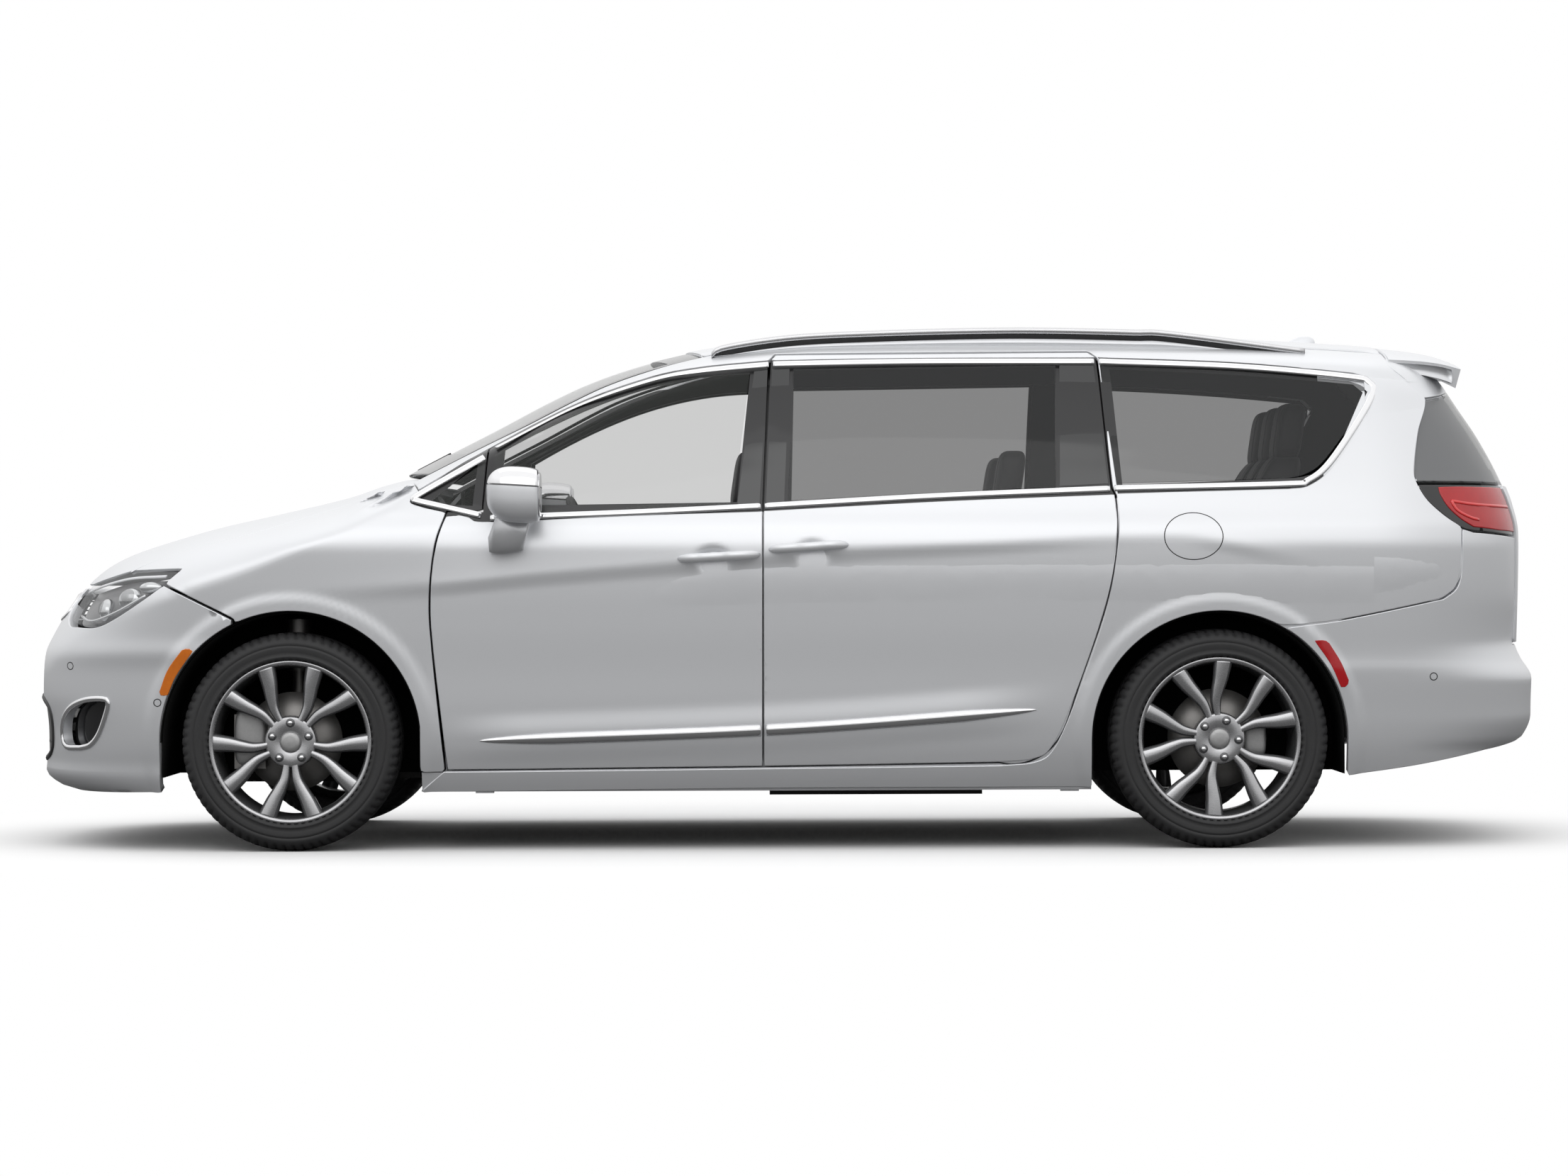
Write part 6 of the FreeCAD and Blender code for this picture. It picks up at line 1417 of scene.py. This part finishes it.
def rail_wall(half, upper, lower):
    """An upright wall under the bar between two height curves."""
    return tube_of(np.stack([np.stack([rail_path[:, 0], rail_path[:, 1] + y, z], axis=1) for y, z in (
        (-half, upper), (half, upper), (half, lower), (-half, lower))], axis=1))


rail_foot = rail_wall(0.012, rail_step, np.minimum(rail_floor, rail_step - 0.001))
# The black wall from the middle of the bar down to rail_step is painted shade: a dark sheet where the gap under the
# rail lies in shadow. Below it, the foot is paint.
pairs(("roof_rail", [rail_part], rail_satin, "body", "rail_metal", "roof_rails"),
      ("rail_gap", [rail_wall(0.006, rail_path[:, 2], rail_step)], black_plastic, "body", "black_plastic"),
      ("rail_foot", [rail_foot], silver_paint, "body", "paint"))


def fin_bend(points):
    """Leans the fin back with its height and thins it towards the top."""
    rise = points[:, 2] / 0.052 + 0.5
    return points * np.stack([1 - 0.45 * rise, 1 - 0.7 * rise, np.ones(len(points))], axis=1) + np.stack(
        [0.030 * rise, 0 * rise, 0 * rise], axis=1)


make("aerial_fin", [solid_part(rounded_box((1.822, 0, 1.730), (0.130, 0.040, 0.052), 2.6, bend=fin_bend))],
     silver_paint, "body", "paint")


# Door mirrors

def mirror_bend(points):
    """Flat rear: all that lies more than 60 mm behind the middle is drawn in."""
    x = points[:, 0]
    drawn = np.where(x > 0.060, 0.060 + 0.25 * (x - 0.060), x)
    return np.stack([drawn, points[:, 1], points[:, 2] - 0.06 * x], axis=1)


mirror_centre = np.array((-0.8700, -1.0750, 1.1800))
mirror_power = 2.7
shell = rounded_box(mirror_centre, (0.2200, 0.1540, 0.1850), mirror_power, 40, mirror_bend)
u = np.linspace(0.20, np.pi / 2, 24)[:, None]
w = np.linspace(-np.pi, np.pi, 80, endpoint=False)[None, :]
level = power_of(np.cos(u), 2 / mirror_power)
cap_dirs = np.stack([level * power_of(np.cos(w), 2 / mirror_power), level * power_of(np.sin(w), 2 / mirror_power),
                     power_of(np.sin(u), 2 / mirror_power) + 0 * w], axis=-1).reshape(-1, 3)
cap_points = mirror_bend(cap_dirs * (0.1115, 0.0785, 0.0940)) + mirror_centre
cap_under = (cap_points[:80] - mirror_centre) * (0.96, 0.96, 1.0) + mirror_centre
mirror_cap = (np.concatenate([cap_under, cap_points]), [grid_faces(25, 80, closed_columns=True)])
foot_side = metres(closed([(-0.972, 0.992)], [(-0.930, 0.987), (-0.864, 1.000)], [(-0.835, 1.110)],
                          [(-0.950, 1.110)], [(-0.976, 1.040)]))
face_disc = rounded_box((-0.8030, -1.0750, 1.1780), (0.008, 0.132, 0.150), 3.2, 24)
shell_parts = [solid_part(shell), prism(foot_side, -1.060, -0.965)]
pairs(("mirror_shell", shell_parts, silver_paint, "door", "paint", "mirror_"),
      ("mirror_cap", [facing(mirror_cap, from_middle(mirror_centre))], chrome, "door", "rail_metal"),
      ("mirror_face", [solid_part(face_disc)], chrome, "door", "rail_metal"))


# Seats: padded cushions with bolsters and seams

def pad(centre, size, lean=0.0, bolster=0.0, front=2, seams=2):
    """A cushion: a superellipsoid whose side edges rise by a fourth power, whose front has thin seam grooves, and
    whose height leans back by a share."""
    half = np.array(size) / 2

    def bend(points):
        """Raises the bolsters, sinks the seams and leans the whole."""
        y = points[:, 1] / half[1]
        facing_out = points[:, front] * (1 if front == 2 else -1) / half[front]
        share = step(facing_out, 0.2, 0.9)
        groove = sum(np.exp(-((y - k) / 0.035) ** 2) for k in np.linspace(-0.55, 0.55, seams))
        rise = share * (bolster * y ** 4 - 0.010 * groove)
        moved_points = points.copy()
        moved_points[:, front] += rise * (1 if front == 2 else -1)
        moved_points[:, 0] += lean * points[:, 2]
        return moved_points

    return solid_part(rounded_box(centre, size, 4.5, 36, bend))


def seat_parts(dx, dz, middle, width):
    """Cushion, backrest and head restraint of one seat."""
    return [
        pad((-0.600 + dx, middle, 0.545 + dz), (0.530, width, 0.170), bolster=0.020),
        pad((-0.245 + dx, middle, 0.835 + dz), (0.140, 0.96 * width, 0.660), lean=0.33, bolster=0.030, front=0),
        pad((-0.128 + dx, middle, 1.240 + dz), (0.095, 0.250, 0.200), lean=0.15, front=0, seams=1),
    ]


for name, node, dx, dz, middles, width in (
        ("front_seat_pads", "front_seats", 0.0, 0.0, (-0.394, 0.394), 0.520),
        ("second_seat_pads", "second_row_seats", 0.905, 0.0, (-0.394, 0.394), 0.520),
        ("third_seat_pads", "third_row_bench", 1.875, 0.161, (-0.344, 0.0, 0.344), 0.338)):
    parts = [part for middle in middles for part in seat_parts(dx, dz, middle, width)]
    piece = make(name, parts, seat_leather, "body", "seat_cloth")
    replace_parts(piece, node)
    foot_z = 0.276 if dz == 0 else 0.525
    front_x, rear_x, top_z = -0.711 + dx, -0.400 + dx, 0.480 + dz
    outline = metres(closed([(front_x, foot_z)], [(rear_x, foot_z)], [(rear_x, top_z)], [(front_x, top_z)]))
    base = [prism(outline, middle - 0.4 * width, middle + 0.4 * width) for middle in middles]
    make(name.replace("pads", "base"), base, dash_plastic, "body", "dark_trim")

# Wipers, blank plate, and rings of painted shade round the sensors
share = np.linspace(0, 1, 40)
a, b = cabin[2]((-0.500 + 0.045 * share) * half_length, -0.03 - 0.215 * share)
points, normal = skin_points(cabin, a, b, 0.006, flat)
wiper_profile = [(-0.006, -0.002), (-0.004, 0.006), (0.004, 0.006), (0.006, -0.002)]
pair("wiper", [solid_part(carried(points, normal, wiper_profile))], black_plastic, "body", "black_plastic")
plate = soft_box((0, 0.885), (-width_place(tail, 0.150, 0.885), 0.055), 8)
make("blank_plate", panel(tail, plate, lift=0.0035, radius=0.001, depth=0.003), plate_grey, "liftgate", "rail_metal")
# Each sensor ring is a thin black strip of painted shade where the gap round the sensor lies dark.
for name, surface, x, z, form in (("front_side_sensor", nose, -2.083, 0.497, nose_relief),
                                  ("front_corner_sensor", nose, -2.401, 0.617, nose_relief),
                                  ("rear_corner_sensor", rear_end, 2.156, 0.568, rear_relief)):
    circle = np.stack([x + 0.012 * np.cos(turn), z + 0.012 * np.sin(turn)], axis=1)
    trim_line(name, surface, domain_loop(surface, circle), groove, seal_rubber, "body", "black_plastic", lift=0.002,
              pressed=form, both=True)


# Camera, floor and light

camera_distance, camera_height, camera_roll = 15.015, 0.87, 0.22
bpy.ops.object.camera_add(location=(0, -camera_distance, camera_height),
                          rotation=(math.radians(90), math.radians(camera_roll), 0))
camera = bpy.context.object
camera.data.lens = 97.1
camera.data.sensor_width = 36.0
bpy.context.scene.camera = camera

bpy.ops.mesh.primitive_plane_add(size=120, location=(0, 0, -0.0005))
ground = bpy.context.object
ground.name = "ground"

# The floor is white to the camera and fades into the white backdrop with distance, and dark to all other rays
ground_white = finish("ground_white", (0.90, 0.90, 0.90), (0.89, 0.89, 0.89), scale=0.5, roughness=0.9, spread=0.0,
                      specular=0.0)
ground_dark = (0.13, 0.13, 0.13, 1)
white = (1, 1, 1, 1)
tree = ground_white.node_tree
shader = tree.nodes["Principled BSDF"]
before = shader.inputs["Base Color"].links[0].from_socket
seen = wire(tree, "LightPath", {}).outputs["Is Camera Ray"]
choice = wire(tree, "Mix", {"A": ground_dark, "B": before, "Factor": seen}, data_type="RGBA")
feed(tree, shader, "Base Color", choice.outputs["Result"])
place = next(n for n in tree.nodes if n.type == "TEX_COORD").outputs["Object"]
reach = wire(tree, "VectorMath", {0: place, 1: (0.300, 0.400, 0.0)}, operation="MULTIPLY").outputs[0]
length = wire(tree, "VectorMath", {0: reach}, operation="LENGTH").outputs["Value"]
fade = wire(tree, "MapRange", {"Value": length, "From Min": 0.70, "From Max": 1.10}, interpolation_type="SMOOTHSTEP")
lit = wire(tree, "Math", {0: fade.outputs["Result"], 1: seen}, operation="MULTIPLY").outputs[0]
glow = wire(tree, "Emission", {"Color": white}).outputs[0]
blend = wire(tree, "MixShader", {"Fac": lit, 1: shader.outputs[0], 2: glow})
feed(tree, tree.nodes["Material Output"], "Surface", blend.outputs[0])
ground.data.materials.append(ground_white)

side_lamp = ((-1.0, -7.0, 5.0), (55, 0, 0), (9, 4), 95)
top_lamp = ((0.0, 1.0, 6.0), (0, 0, 0), (7, 4), 20)
for place, angles, size, power in (side_lamp, top_lamp):
    bpy.ops.object.light_add(type="AREA", location=place)
    lamp = bpy.context.object
    lamp.data.shape = "RECTANGLE"
    lamp.data.size, lamp.data.size_y = size
    lamp.data.energy = power
    lamp.rotation_euler = [math.radians(angle) for angle in angles]
bpy.context.scene.view_settings.view_transform = "Standard"

# Studio light: dim at the horizon and bright overhead, white where the camera looks past the vehicle
world = bpy.context.scene.world or bpy.data.worlds.new("studio")
bpy.context.scene.world = world
world.use_nodes = True
tree = world.node_tree
sky = tree.nodes["Background"]
where = wire(tree, "TexCoord", {}).outputs["Generated"]
height = wire(tree, "SeparateXYZ", {"Vector": where}).outputs["Z"]
rise = wire(tree, "MapRange", {"Value": height, "From Min": -0.25, "From Max": 0.60, "To Min": 0.50, "To Max": 1.20})
feed(tree, sky, "Strength", rise.outputs["Result"])
sky.inputs["Color"].default_value = white
backdrop = wire(tree, "Background", {"Color": white}).outputs[0]
rays = wire(tree, "LightPath", {}).outputs
through = wire(tree, "Math", {0: rays["Is Camera Ray"], 1: rays["Is Transmission Ray"]}, operation="MAXIMUM")
mix = wire(tree, "MixShader", {"Fac": through.outputs[0], 1: sky.outputs[0], 2: backdrop})
feed(tree, tree.nodes["World Output"], "Surface", mix.outputs[0])
